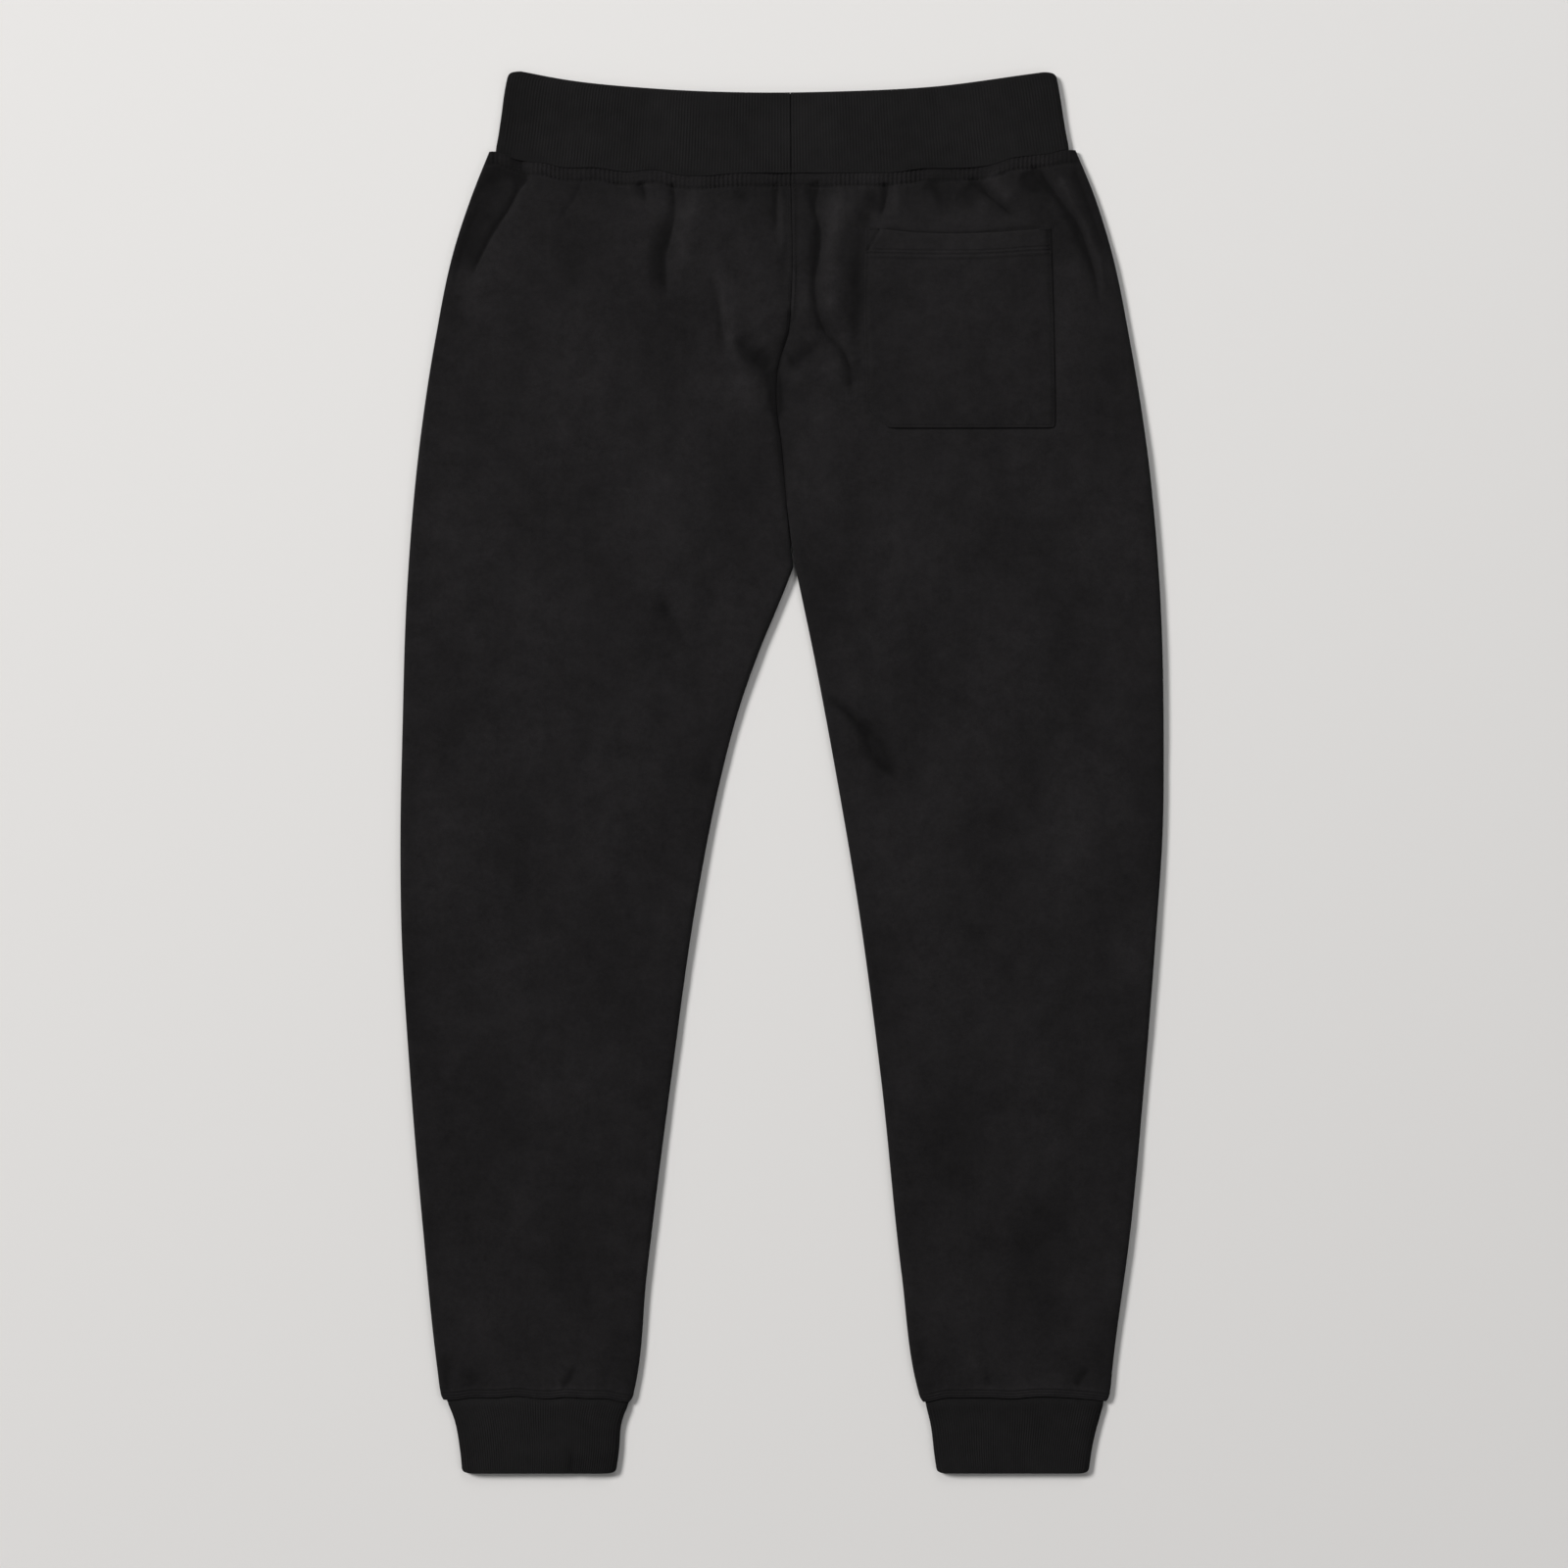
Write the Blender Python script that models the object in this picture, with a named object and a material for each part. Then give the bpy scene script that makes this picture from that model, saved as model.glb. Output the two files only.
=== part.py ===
"""Jogger sweatpants in brushed fleece, laid flat with the back side up.

+X is the wearer's right, +Y runs from the ankles to the waist and +Z points up, out of the
back.  The front panels lie on the plane z = 0, and the back panels lie on the front panels.
Sizes and tables are in millimetres; MM turns them into Blender's metres.

Each leg panel is a wall between two surfaces.  At the side seam and the inseam a back panel
turns down, and a front panel turns up, to meet halfway.  At the centre seam they stay flat.
"""
import math
from collections import namedtuple

import bmesh
import bpy
import numpy as np

MM = 0.001

# Driving dimensions
FLEECE = 2.4  # wall of the leg panels and the pocket
RIB_KNIT = 3.0  # wall of the waistband and the cuffs, rib knit folded double
SEAM_GAP = 0.3  # space between two pieces where they are sewn together
LAID_HEIGHT = 8.4  # top of the back panels above the surface that they lie on
EDGE_HEIGHT = 4.2  # height of the side seams and inseams
EDGE_ROUND = 7.5  # how far in a panel starts to turn towards a side seam or inseam
SEAM_ROUND = 3.0  # the same at the flat centre seam
SEAM_GROOVE = 0.8  # how deep the centre seam, waist seam and ankle seams sit
CROTCH_Y = 158.0
CROTCH_FLARE = 50.0  # length above the crotch where the centre seam sinks between the legs
WAIST_Y = 458.0  # waist seam at the centre back
ANKLE_Y = -480.0  # ankle seams, level
WAIST_REACH = 110.0  # how far below the waist seam the rows follow its curve
ANKLE_REACH = 40.0  # how far above the ankle seams the rows follow their waves

BAND_HEIGHT = 8.6  # top of the laid waistband, between its ribs
CUFF_HEIGHT = 8.2  # top of a laid cuff, between its ribs
LOOP_ROUND = 5.0  # width of the fold at each side of the waistband and the cuffs
LOOP_EDGE_INSET = 1.0  # rounding of the folded free edge
BAND_RIB_PITCH = 2.3
CUFF_RIB_PITCH = 2.0
RIB_DEPTH = 0.5
CUFF_END_Y = -535.5  # free end of the cuffs

POCKET_LIFT = 0.4  # space between the pocket and the panel that it is sewn to
POCKET_HEM = 18.0  # depth of the turned hem at the pocket's mouth
POCKET_HEM_STEP = 0.8  # how far the doubled hem stands proud
POCKET_RIM = 1.2  # rounding of the pocket's turned edges
POCKET_RIM_DROP = 0.4 * FLEECE  # how far these edges fall below its face

# Outer edges of the legs, from the ankle to the waist
SideRow = namedtuple("SideRow", "y left right")
SIDES = (
    SideRow(-482, -261.5, 250.0),
    SideRow(-458, -264.0, 253.0),
    SideRow(-346, -275.5, 267.5),
    SideRow(-233, -285.0, 278.0),
    SideRow(-121, -291.7, 286.7),
    SideRow(-46, -292.5, 291.7),
    SideRow(30, -291.0, 292.5),
    SideRow(142, -287.3, 289.5),
    SideRow(254, -277.5, 279.0),
    SideRow(329, -266.3, 267.0),
    SideRow(404, -250.5, 251.3),
    SideRow(442, -237.8, 239.3),
    SideRow(478, -223.5, 224.5),
)

# Inseams, from the ankle to the crotch
InseamRow = namedtuple("InseamRow", "y left right")
INSEAMS = (
    InseamRow(-482, -113.3, 104.0),
    InseamRow(-383, -102.8, 90.8),
    InseamRow(-233, -84.0, 75.0),
    InseamRow(-83, -62.3, 54.8),
    InseamRow(-8, -47.3, 42.0),
    InseamRow(52, -31.5, 31.1),
    InseamRow(93, -17.0, 23.2),
    InseamRow(134, 0.0, 14.6),
    InseamRow(148, 5.6, 11.6),
    InseamRow(CROTCH_Y, 9.4, 9.4),
)

# Centre back seam, from the crotch to the waist
SeamRow = namedtuple("SeamRow", "y x")
CENTRE_SEAM = (
    SeamRow(CROTCH_Y, 9.4),
    SeamRow(175, 7.0),
    SeamRow(202, 3.8),
    SeamRow(250, -0.4),
    SeamRow(285, -4.5),
    SeamRow(312, -3.0),
    SeamRow(338, 4.8),
    SeamRow(362, 6.8),
    SeamRow(460, 6.8),
)

# Waist seam and the top of the waistband, from left to right
EdgePoint = namedtuple("EdgePoint", "x y")
WAIST_SEAM = (
    EdgePoint(-225, 476.5),
    EdgePoint(-203, 467.0),
    EdgePoint(-150, 462.5),
    EdgePoint(-100, 459.5),
    EdgePoint(-37, 458.0),
    EdgePoint(46, 458.0),
    EdgePoint(97, 459.3),
    EdgePoint(147, 464.0),
    EdgePoint(190, 471.5),
    EdgePoint(225, 477.0),
)
BAND_TOP = (
    EdgePoint(-205, 536.0),
    EdgePoint(-178, 531.0),
    EdgePoint(-103, 523.5),
    EdgePoint(-28, 520.5),
    EdgePoint(47, 521.3),
    EdgePoint(122, 525.0),
    EdgePoint(205, 535.5),
)

# Ankle seams, from left to right; the cloth is drawn in a little between stitches
ANKLE_SEAM = (
    EdgePoint(-262, -480.0),
    EdgePoint(-238, -478.2),
    EdgePoint(-202, -477.0),
    EdgePoint(-179, -478.9),
    EdgePoint(-166, -477.8),
    EdgePoint(-135, -479.3),
    EdgePoint(-114, -482.6),
    EdgePoint(104, -481.6),
    EdgePoint(123, -478.6),
    EdgePoint(155, -477.8),
    EdgePoint(167, -479.1),
    EdgePoint(192, -477.4),
    EdgePoint(225, -478.5),
    EdgePoint(250, -481.0),
)

# Sides of the knitted loops; level runs from 0 at the seam to 1 at the free end
LoopRow = namedtuple("LoopRow", "level left right")
BAND_SIDES = (
    LoopRow(0.0, -219.0, 219.5),
    LoopRow(0.4, -215.0, 215.3),
    LoopRow(0.8, -211.5, 211.6),
    LoopRow(0.93, -209.5, 209.8),
    LoopRow(1.0, -205.5, 205.8),
)
BAND_LEVELS = (0.0, 0.93, 1.0)  # where the waistband has rows of points
LEFT_CUFF_SIDES = (
    LoopRow(0.0, -257.3, -117.0),
    LoopRow(0.25, -250.5, -122.5),
    LoopRow(0.7, -246.0, -125.0),
    LoopRow(0.92, -244.6, -127.5),
    LoopRow(1.0, -241.6, -132.0),
)
RIGHT_CUFF_SIDES = (
    LoopRow(0.0, 109.8, 246.0),
    LoopRow(0.33, 114.0, 241.0),
    LoopRow(0.7, 116.5, 236.5),
    LoopRow(0.92, 118.8, 234.4),
    LoopRow(1.0, 121.5, 231.5),
)

CUFF_LEVELS = (0.0, 0.25, 0.93, 1.0)

# Outline of the patch pocket, from its bottom edge to its mouth
PocketRow = namedtuple("PocketRow", "y left right")
POCKET_SIDES = (
    PocketRow(265.5, 82.0, 206.0),
    PocketRow(268.0, 79.0, 208.2),
    PocketRow(281.5, 65.0, 208.8),
    PocketRow(350.0, 62.6, 207.5),
    PocketRow(418.5, 63.7, 205.5),
)
POCKET_SAG = 4.5  # how far the middle of the mouth hangs below its corners
POCKET_ROWS = (268.0, 274.0, 281.5, 300.0, 325.0, 350.0, 370.0, 388.0)  # rows of points below its hem
POCKET_HEM_ROW = 409.0  # row of points across the hem
POCKET_HEM_SLOPE = 1.0  # half the width of the sloping step up to the hem
POCKET_COLUMNS = 13

# Folds and creases of the back.  rise is the height of a ridge, or the depth of a trough where
# it is negative; width is half its width; it fades in and out over lengths along its path.
Fold = namedtuple("Fold", "name rise width fade_in fade_out path")
FOLDS = (
    Fold("left hip crease", -2.2, 6, 5, 30, ((-199, 452), (-211, 433), (-223, 415), (-237, 382))),
    Fold("left hip ridge", 1.6, 8, 10, 30, ((-189, 446), (-201, 430), (-212, 410), (-221, 385))),
    Fold("left waist nick", -1.0, 4, 2, 8, ((-155, 455), (-161, 440))),
    Fold("left waist tuck", -1.5, 4, 1, 8, ((-108, 455), (-105, 437))),
    Fold("left pleat", -3.3, 7, 4, 16, ((-85, 456), (-86, 432), (-91, 410), (-96, 391), (-94, 374))),
    Fold("left pleat edge", 2.5, 9, 6, 20, ((-70, 452), (-68, 425), (-77, 400), (-80, 385))),
    Fold("left pleat back", 1.0, 9, 8, 20, ((-101, 445), (-106, 415), (-111, 390))),
    Fold("left seat ridge", 2.2, 10, 25, 15, ((-49, 410), (-46, 357), (-40, 328), (-30, 307))),
    Fold("left seat hollow", -2.6, 6, 10, 6, ((-34, 341), (-24, 324), (-13, 307), (-7, 294))),
    Fold("left seam tuck", -2.0, 4, 3, 12, ((-6, 454), (-6, 423))),
    Fold("left seat puff", 1.8, 14, 25, 35, ((-30, 285), (-34, 230), (-22, 180))),
    Fold("left thigh crease", -1.7, 5, 7, 12, ((-95, 132), (-88, 118), (-75, 97))),
    Fold("right pleat", -2.8, 6, 4, 14,
         ((27, 454), (22, 440), (27, 412), (23, 390), (24, 357), (30, 340), (46, 320), (51, 291))),
    Fold("right pleat edge", 2.8, 8, 6, 14,
         ((38, 447), (40, 415), (35, 385), (36, 350), (47, 333))),
    Fold("right pleat back", -1.5, 9, 12, 25, ((61, 436), (56, 414), (53, 380), (53, 340))),
    Fold("pocket corner tuck", -1.8, 5, 3, 9, ((81, 455), (76, 434), (70, 424))),
    Fold("right waist tuck", -1.8, 5, 3, 9, ((111, 456), (121, 437))),
    Fold("right waist crease", -2.2, 5, 3, 10, ((138, 458), (147, 449), (155, 441), (167, 433))),
    Fold("right hip crease", -2.8, 6, 4, 50,
         ((190, 468), (201, 451), (216, 433), (226, 416), (233, 396), (243, 350))),
    Fold("right hip ridge", 1.8, 7, 8, 40, ((212, 457), (228, 427), (239, 396), (247, 350))),
    Fold("right seam hollow", -1.8, 6, 4, 6, ((11, 317), (21, 323), (31, 330))),
    Fold("right seat puff", 2.0, 9, 9, 14, ((31, 312), (34, 285))),
    Fold("right thigh crease", -2.4, 7, 10, 14, ((38, 58), (57, 36), (67, 17), (84, -2))),
    Fold("right knee hollow", -0.9, 12, 12, 12, ((120, -101), (152, -125))),
    Fold("left ankle pucker", -1.3, 5, 6, 2, ((-235, -452), (-238, -474))),
    Fold("left ankle tuck", -1.6, 5, 8, 2, ((-158, -450), (-170, -474))),
    Fold("right ankle pucker", -1.3, 5, 8, 2, ((240, -450), (221, -474))),
    Fold("right ankle tuck", -1.0, 5, 6, 2, ((157, -455), (158, -474))),
    Fold("right ankle nick", -1.0, 5, 6, 2, ((194, -455), (194, -474))),
)

# Slow swells of the laid cloth: height, length of a wave along x and along y, start of the wave
Swell = namedtuple("Swell", "height length_x length_y start")
SWELLS = (
    Swell(0.35, 170.0, 260.0, 0.4),
    Swell(0.30, -120.0, 190.0, 2.1),
    Swell(0.20, 90.0, -410.0, 4.0),
)

# Rows of points on a panel, from the ankle up: from y to y, how many rows, points in a row
RowBand = namedtuple("RowBand", "start stop rows columns")
BACK_ROWS = (
    RowBand(ANKLE_Y, ANKLE_Y, 1, 24),
    RowBand(ANKLE_Y + 3, ANKLE_Y + 8, 2, 14),
    RowBand(-455, -455, 1, 12),
    RowBand(-415, 60, 11, 9),
    RowBand(92, CROTCH_Y, 4, 12),
    RowBand(172, 266, 6, 18),
    RowBand(280, 438, 11, 30),
    RowBand(448, WAIST_Y - 3, 2, 30),
    RowBand(WAIST_Y, WAIST_Y, 1, 36),
)
FRONT_ROWS = (
    RowBand(ANKLE_Y, ANKLE_Y, 1, 24),
    RowBand(-450, 90, 10, 5),
    RowBand(130, 200, 4, 6),
    RowBand(260, 430, 5, 6),
    RowBand(WAIST_Y, WAIST_Y, 1, 36),
)
EDGE_ANGLES = (90, 55, 22)  # where a turned edge has its points, from its seam inwards
CENTRE_CROWDING = 1.3  # above 1, columns lie closer together near the centre
SETTLING_ROUNDS = 5  # a row's y and x depend on each other, and are worked out this many times

RIB_SPANS = 2  # one up and one down
OUTER_FOLD_SPANS, INNER_FOLD_SPANS = 4, 2  # spans round half of a loop's fold
BAND_UNDER_SPANS = 36  # spans along the underside of the waistband and of a cuff
CUFF_UNDER_SPANS = 16
CLOSING_MARGIN = 0.3  # least space from a loop's closing seam to its next point, in spans
MIDDLE_OF_LEFT_FOLD, MIDDLE_OF_RIGHT_FOLD = 1.5, 3.5  # places round a flattened loop

LEFT, RIGHT = -1, 1
TINY = 1e-6
SHARP_EDGE = math.radians(50)  # steeper edges are shaded sharp


def smooth_step(t):
    """Eased 0 to 1 as t goes from 0 to 1."""
    t = np.clip(t, 0.0, 1.0)
    return t * t * (3.0 - 2.0 * t)


def mix(a, b, share):
    return a + (b - a) * share


def curve(positions, values):
    """Smooth function through the values, straight beyond its ends."""
    at = np.array(positions, float)
    value = np.array(values, float)
    slope = np.gradient(value, at)

    def read(position):
        inside = np.clip(position, at[0], at[-1])
        i = np.clip(np.searchsorted(at, inside) - 1, 0, len(at) - 2)
        span = at[i + 1] - at[i]
        t = (inside - at[i]) / span
        eased = t * t * (3 - 2 * t)
        bend = slope[i] * t * (1 - t) ** 2 - slope[i + 1] * t * t * (1 - t)
        beyond = np.where(position < at[0], slope[0], slope[-1]) * (position - inside)
        return mix(value[i], value[i + 1], eased) + span * bend + beyond

    return read


def column(rows, name, against):
    """Curve of one named column of a table against another."""
    return curve([getattr(row, against) for row in rows], [getattr(row, name) for row in rows])


side_edge = {LEFT: column(SIDES, "left", "y"), RIGHT: column(SIDES, "right", "y")}
inseam = {LEFT: column(INSEAMS, "left", "y"), RIGHT: column(INSEAMS, "right", "y")}
centre_seam = column(CENTRE_SEAM, "x", "y")
waist_seam = column(WAIST_SEAM, "y", "x")
ankle_seam = column(ANKLE_SEAM, "y", "x")
band_top = column(BAND_TOP, "y", "x")


def inner_edge(side, y):
    """Inseam below the crotch and centre seam above it, half a seam gap back."""
    edge = np.where(y < CROTCH_Y, inseam[side](y), centre_seam(y))
    return edge + side * SEAM_GAP / 2


def leg_share(y):
    """1 where the inner edge is an inseam, falling to 0 where it is the flat centre seam."""
    return 1.0 - smooth_step((y - CROTCH_Y) / CROTCH_FLARE)


def fold_rise(fold, x, y):
    """Height that one fold adds at x, y."""
    path = np.array(fold.path, float)
    steps = np.diff(path, axis=0)
    lengths = np.hypot(steps[:, 0], steps[:, 1])
    before = np.concatenate([[0.0], np.cumsum(lengths)])
    nearest = np.full(np.shape(x), np.inf)
    along = np.zeros(np.shape(x))
    for start, step, length, run in zip(path, steps, lengths, before):
        t = np.clip(((x - start[0]) * step[0] + (y - start[1]) * step[1]) / length**2, 0, 1)
        distance = np.hypot(x - start[0] - t * step[0], y - start[1] - t * step[1])
        closer = distance < nearest
        nearest = np.where(closer, distance, nearest)
        along = np.where(closer, run + t * length, along)
    fade = smooth_step(along / fold.fade_in) * smooth_step((before[-1] - along) / fold.fade_out)
    return fold.rise * fade * np.exp(-((nearest / fold.width) ** 2))


def back_height(side, x, y):
    """Top of a back panel at x, y."""
    height = np.full(np.shape(x), LAID_HEIGHT)
    for swell in SWELLS:
        phase = 2 * math.pi * (x / swell.length_x + y / swell.length_y) + swell.start
        height = height + swell.height * np.sin(phase)
    for fold in FOLDS:
        height = height + fold_rise(fold, x, y)
    to_side = np.abs(side_edge[side](y) - x)
    to_inner = np.abs(inner_edge(side, y) - x)
    turned = np.maximum(
        1 - smooth_step(to_side / (2 * EDGE_ROUND)),
        leg_share(y) * (1 - smooth_step(to_inner / (2 * EDGE_ROUND))),
    )
    lowest_flat = 2 * FLEECE + SEAM_GAP
    lowest_turned = EDGE_HEIGHT + FLEECE + SEAM_GAP
    height = np.maximum(height, mix(lowest_flat, lowest_turned, turned))
    to_waist = np.abs(waist_seam(x) - y)
    to_ankle = np.abs(y - ankle_seam(x))
    groove = np.exp(-((to_waist / SEAM_ROUND) ** 2)) + np.exp(-((to_ankle / SEAM_ROUND) ** 2))
    return height - SEAM_GROOVE * groove


def panel_row(side, is_back, level, columns):
    """Outer and inner points of one row across a leg panel, from its side to its inner edge."""
    angles = np.radians(EDGE_ANGLES)
    steps = np.linspace(0, 1, columns)
    turn = np.concatenate([angles, np.zeros(columns), angles[::-1]])
    across = np.concatenate([angles * 0, 1 - (1 - steps) ** CENTRE_CROWDING, angles * 0 + 1])
    at_side = across < 0.5
    order = np.concatenate([np.arange(-len(angles), 0), steps, np.arange(len(angles)) + 2])

    y = np.full(len(across), float(level))
    for _ in range(SETTLING_ROUNDS):
        share = np.where(at_side, 1.0, leg_share(y))
        reach = mix(SEAM_ROUND, EDGE_ROUND, share)
        bend_side = side_edge[side](y) - side * EDGE_ROUND
        bend_inner = inner_edge(side, y) + side * mix(SEAM_ROUND, EDGE_ROUND, leg_share(y))
        bend = mix(bend_side, bend_inner, across)
        outwards = np.where(at_side, side, -side)
        x_outer = bend + outwards * reach * np.sin(turn)
        waist_shift = waist_seam(x_outer) - SEAM_GAP / 2 - WAIST_Y
        ankle_shift = ankle_seam(x_outer) + SEAM_GAP / 2 - ANKLE_Y
        waist_share = smooth_step(1 - (WAIST_Y - level) / WAIST_REACH)
        ankle_share = smooth_step(1 - (level - ANKLE_Y) / ANKLE_REACH)
        y = level + waist_shift * waist_share + ankle_shift * ankle_share

    x_inner = bend + outwards * (reach - FLEECE * share) * np.sin(turn)
    if is_back:
        face = back_height(side, x_outer, y)
        inside = face - FLEECE
        rim = face - SEAM_GROOVE
        seam = EDGE_HEIGHT + SEAM_GAP / 2
    else:
        face = np.zeros(len(across))
        inside = face + FLEECE
        rim = face
        seam = EDGE_HEIGHT - SEAM_GAP / 2
    outer_end = mix(rim, seam, share)
    inner_end = mix(inside, seam, share)
    z_outer = mix(outer_end, face, np.cos(turn))
    z_inner = mix(inner_end, inside, np.cos(turn))
    return order, np.column_stack([x_outer, y, z_outer]), order, np.column_stack([x_inner, y, z_inner])


def stitch(first, first_order, second, second_order):
    """Triangles between two rows of vertex numbers, each with its ascending places."""
    faces = []
    i = j = 0
    while i < len(first) - 1 or j < len(second) - 1:
        first_ended = i == len(first) - 1
        second_ended = j == len(second) - 1
        if second_ended or (not first_ended and first_order[i + 1] <= second_order[j + 1]):
            faces.append((first[i], first[i + 1], second[j]))
            i += 1
        else:
            faces.append((first[i], second[j + 1], second[j]))
            j += 1
    return faces


def wall_solid(name, rows, material):
    """Closed solid from rows of (outer order, outer points, inner order, inner points)."""
    points = []
    numbered = []
    for outer_order, outer, inner_order, inner in rows:
        first = len(points)
        points.extend(outer)
        points.extend(inner)
        outer_numbers = list(range(first, first + len(outer)))
        inner_numbers = list(range(first + len(outer), len(points)))
        numbered.append((outer_numbers, outer_order, inner_numbers, inner_order))

    faces = []
    for low, high in zip(numbered, numbered[1:]):
        faces += stitch(low[0], low[1], high[0], high[1])
        faces += stitch(low[2], low[3], high[2], high[3])
        for end in (0, -1):
            faces.append((low[0][end], low[2][end], high[2][end], high[0][end]))
    for row in (numbered[0], numbered[-1]):
        faces += stitch(row[0], row[1], row[2], row[3])

    mesh = bpy.data.meshes.new(name)
    mesh.from_pydata([tuple(point * MM) for point in points], [], faces)
    work = bmesh.new()
    work.from_mesh(mesh)
    bmesh.ops.triangulate(work, faces=work.faces)
    bmesh.ops.recalc_face_normals(work, faces=work.faces)
    work.to_mesh(mesh)
    work.free()
    mesh.shade_smooth()
    mesh.set_sharp_from_angle(angle=SHARP_EDGE)
    mesh.materials.append(material)
    part = bpy.data.objects.new(name, mesh)
    bpy.context.collection.objects.link(part)
    return part


def make_panel(name, side, is_back, bands, material):
    """One leg panel, from the ankle seam to the waist seam."""
    rows = []
    for band in bands:
        for level in np.linspace(band.start, band.stop, band.rows):
            rows.append(panel_row(side, is_back, level, band.columns))
    return wall_solid(name, rows, material)


def loop_places(start, top_spans, fold_spans, under_spans):
    """Places once round a flattened loop.

    A place runs 0 to 1 along the top from right to left, 1 to 2 round the left fold, 2 to 3
    along the underside and 3 to 4 round the right fold.
    """
    top = np.linspace(0, 1, top_spans + 1)
    fold = np.linspace(0, 1, 2 * fold_spans + 1)
    under = np.linspace(0, 1, under_spans + 1)
    once = np.unique(np.round(np.concatenate([top, 1 + fold, 2 + under, 3 + fold]), 6))[:-1]
    inside = np.concatenate([once, once + 4])
    margin = CLOSING_MARGIN / top_spans
    inside = inside[(inside > start + margin) & (inside < start + 4 - margin)]
    return np.concatenate([[start], inside, [start + 4]])


def loop_section(places, left, right, height, thickness, inset, lift):
    """x and z of the points round a flattened loop whose outer surface is set in by inset.

    thickness is how far these points lie under the outer surface, and lift raises the ribs on
    the upper half.
    """
    place = np.mod(places, 4.0)
    along_top = np.clip(place, 0, 1)
    along_under = np.clip(place - 2, 0, 1)
    left_turn = np.clip(place - 1, 0, 1) * math.pi
    right_turn = np.clip(place - 3, 0, 1) * math.pi
    on_left = (place > 1) & (place < 2)
    on_right = place > 3
    angle = np.where(on_left, left_turn, np.where(on_right, math.pi - right_turn, 0.0))
    angle = np.where((place >= 2) & (place <= 3), math.pi, angle)
    depth = thickness + inset
    upper = np.cos(angle) > -TINY
    radius = height / 2 - depth + np.where(upper, lift, 0.0)
    bend = LOOP_ROUND - depth + np.where(upper, lift, 0.0)
    outwards = np.where(on_left, -np.sin(angle), np.where(on_right, np.sin(angle), 0.0))
    run = np.where(place <= 1, 1 - along_top, np.where(place <= 2, 0.0, along_under))
    run = np.where(on_right, 1.0, run)
    x = mix(left + LOOP_ROUND, right - LOOP_ROUND, run) + outwards * bend
    z = height / 2 + radius * np.cos(angle)
    return x, z, run


def make_loop(name, sides, levels, seam_edge, free_edge, height, start, rib_pitch, under_spans, material):
    """Rib-knit loop, laid flat.  It is sewn shut at the place where it starts."""
    left_side = column(sides, "left", "level")
    right_side = column(sides, "right", "level")
    width = sides[0].right - sides[0].left - 2 * LOOP_ROUND
    ribs = round(width / rib_pitch)
    outer_places = loop_places(start, RIB_SPANS * ribs, OUTER_FOLD_SPANS, under_spans)
    inner_places = loop_places(start, under_spans, INNER_FOLD_SPANS, under_spans)
    rib_lift = np.where(np.arange(len(outer_places)) % 2 == 1, RIB_DEPTH, 0.0)
    closing = SEAM_GAP / 2 / width
    rows = []
    for level in levels:
        at_free_end = level == levels[-1]
        inset = LOOP_EDGE_INSET if at_free_end else 0.0
        row = []
        for places, depth, sign, lift in (
            (outer_places, 0.0, 1, rib_lift * (not at_free_end)),
            (inner_places, RIB_KNIT, -1, np.zeros(len(inner_places))),
        ):
            shifted = places.copy()
            shifted[0] += closing
            shifted[-1] -= closing
            left, right = left_side(level), right_side(level)
            x, z, run = loop_section(shifted, left, right, height, depth, sign * inset, lift)
            seam_x = mix(left_side(0.0), right_side(0.0), run)
            free_x = mix(left_side(1.0), right_side(1.0), run)
            y = mix(seam_edge(seam_x), free_edge(free_x), level)
            row += [places, np.column_stack([x, y, z])]
        rows.append(tuple(row))
    return wall_solid(name, rows, material)


def make_pocket(material):
    """Patch pocket, its underside following the right back panel and its mouth edge hemmed."""
    heights = [row.y for row in POCKET_SIDES]
    bottom, mouth = heights[0], heights[-1]
    hem = mouth - POCKET_HEM
    levels = [bottom, bottom + POCKET_RIM, *POCKET_ROWS, hem - POCKET_HEM_SLOPE, hem + POCKET_HEM_SLOPE,
              POCKET_HEM_ROW, mouth - POCKET_RIM, mouth]
    rows = []
    for level in levels:
        left = np.interp(level, heights, [row.left for row in POCKET_SIDES])
        right = np.interp(level, heights, [row.right for row in POCKET_SIDES])
        inner_columns = np.linspace(left + POCKET_RIM, right - POCKET_RIM, POCKET_COLUMNS)
        x = np.concatenate([[left], inner_columns, [right]])
        middle = (x - left) / (right - left)
        sag = POCKET_SAG * 4 * middle * (1 - middle) * smooth_step((level - bottom) / (mouth - bottom))
        y = level - sag
        under = back_height(RIGHT, x, y) + POCKET_LIFT
        at_rim = (middle < TINY) | (middle > 1 - TINY) | (level == bottom) | (level == mouth)
        hem_rise = POCKET_HEM_STEP if level > hem else 0.0
        top = under + FLEECE + hem_rise - np.where(at_rim, POCKET_RIM_DROP, 0.0)
        order = np.arange(len(x))
        rows.append((order, np.column_stack([x, y, top]), order, np.column_stack([x, y, under])))
    return wall_solid("back_pocket", rows, material)


def make_material(name, colour, roughness):
    material = bpy.data.materials.new(name)
    material.use_nodes = True
    shader = material.node_tree.nodes["Principled BSDF"]
    shader.inputs["Base Color"].default_value = (*colour, 1.0)
    shader.inputs["Roughness"].default_value = roughness
    shader.inputs["Metallic"].default_value = 0.0
    material.diffuse_color = (*colour, 1.0)
    return material


def clear_scene():
    for item in list(bpy.data.objects):
        bpy.data.objects.remove(item, do_unlink=True)


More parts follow.
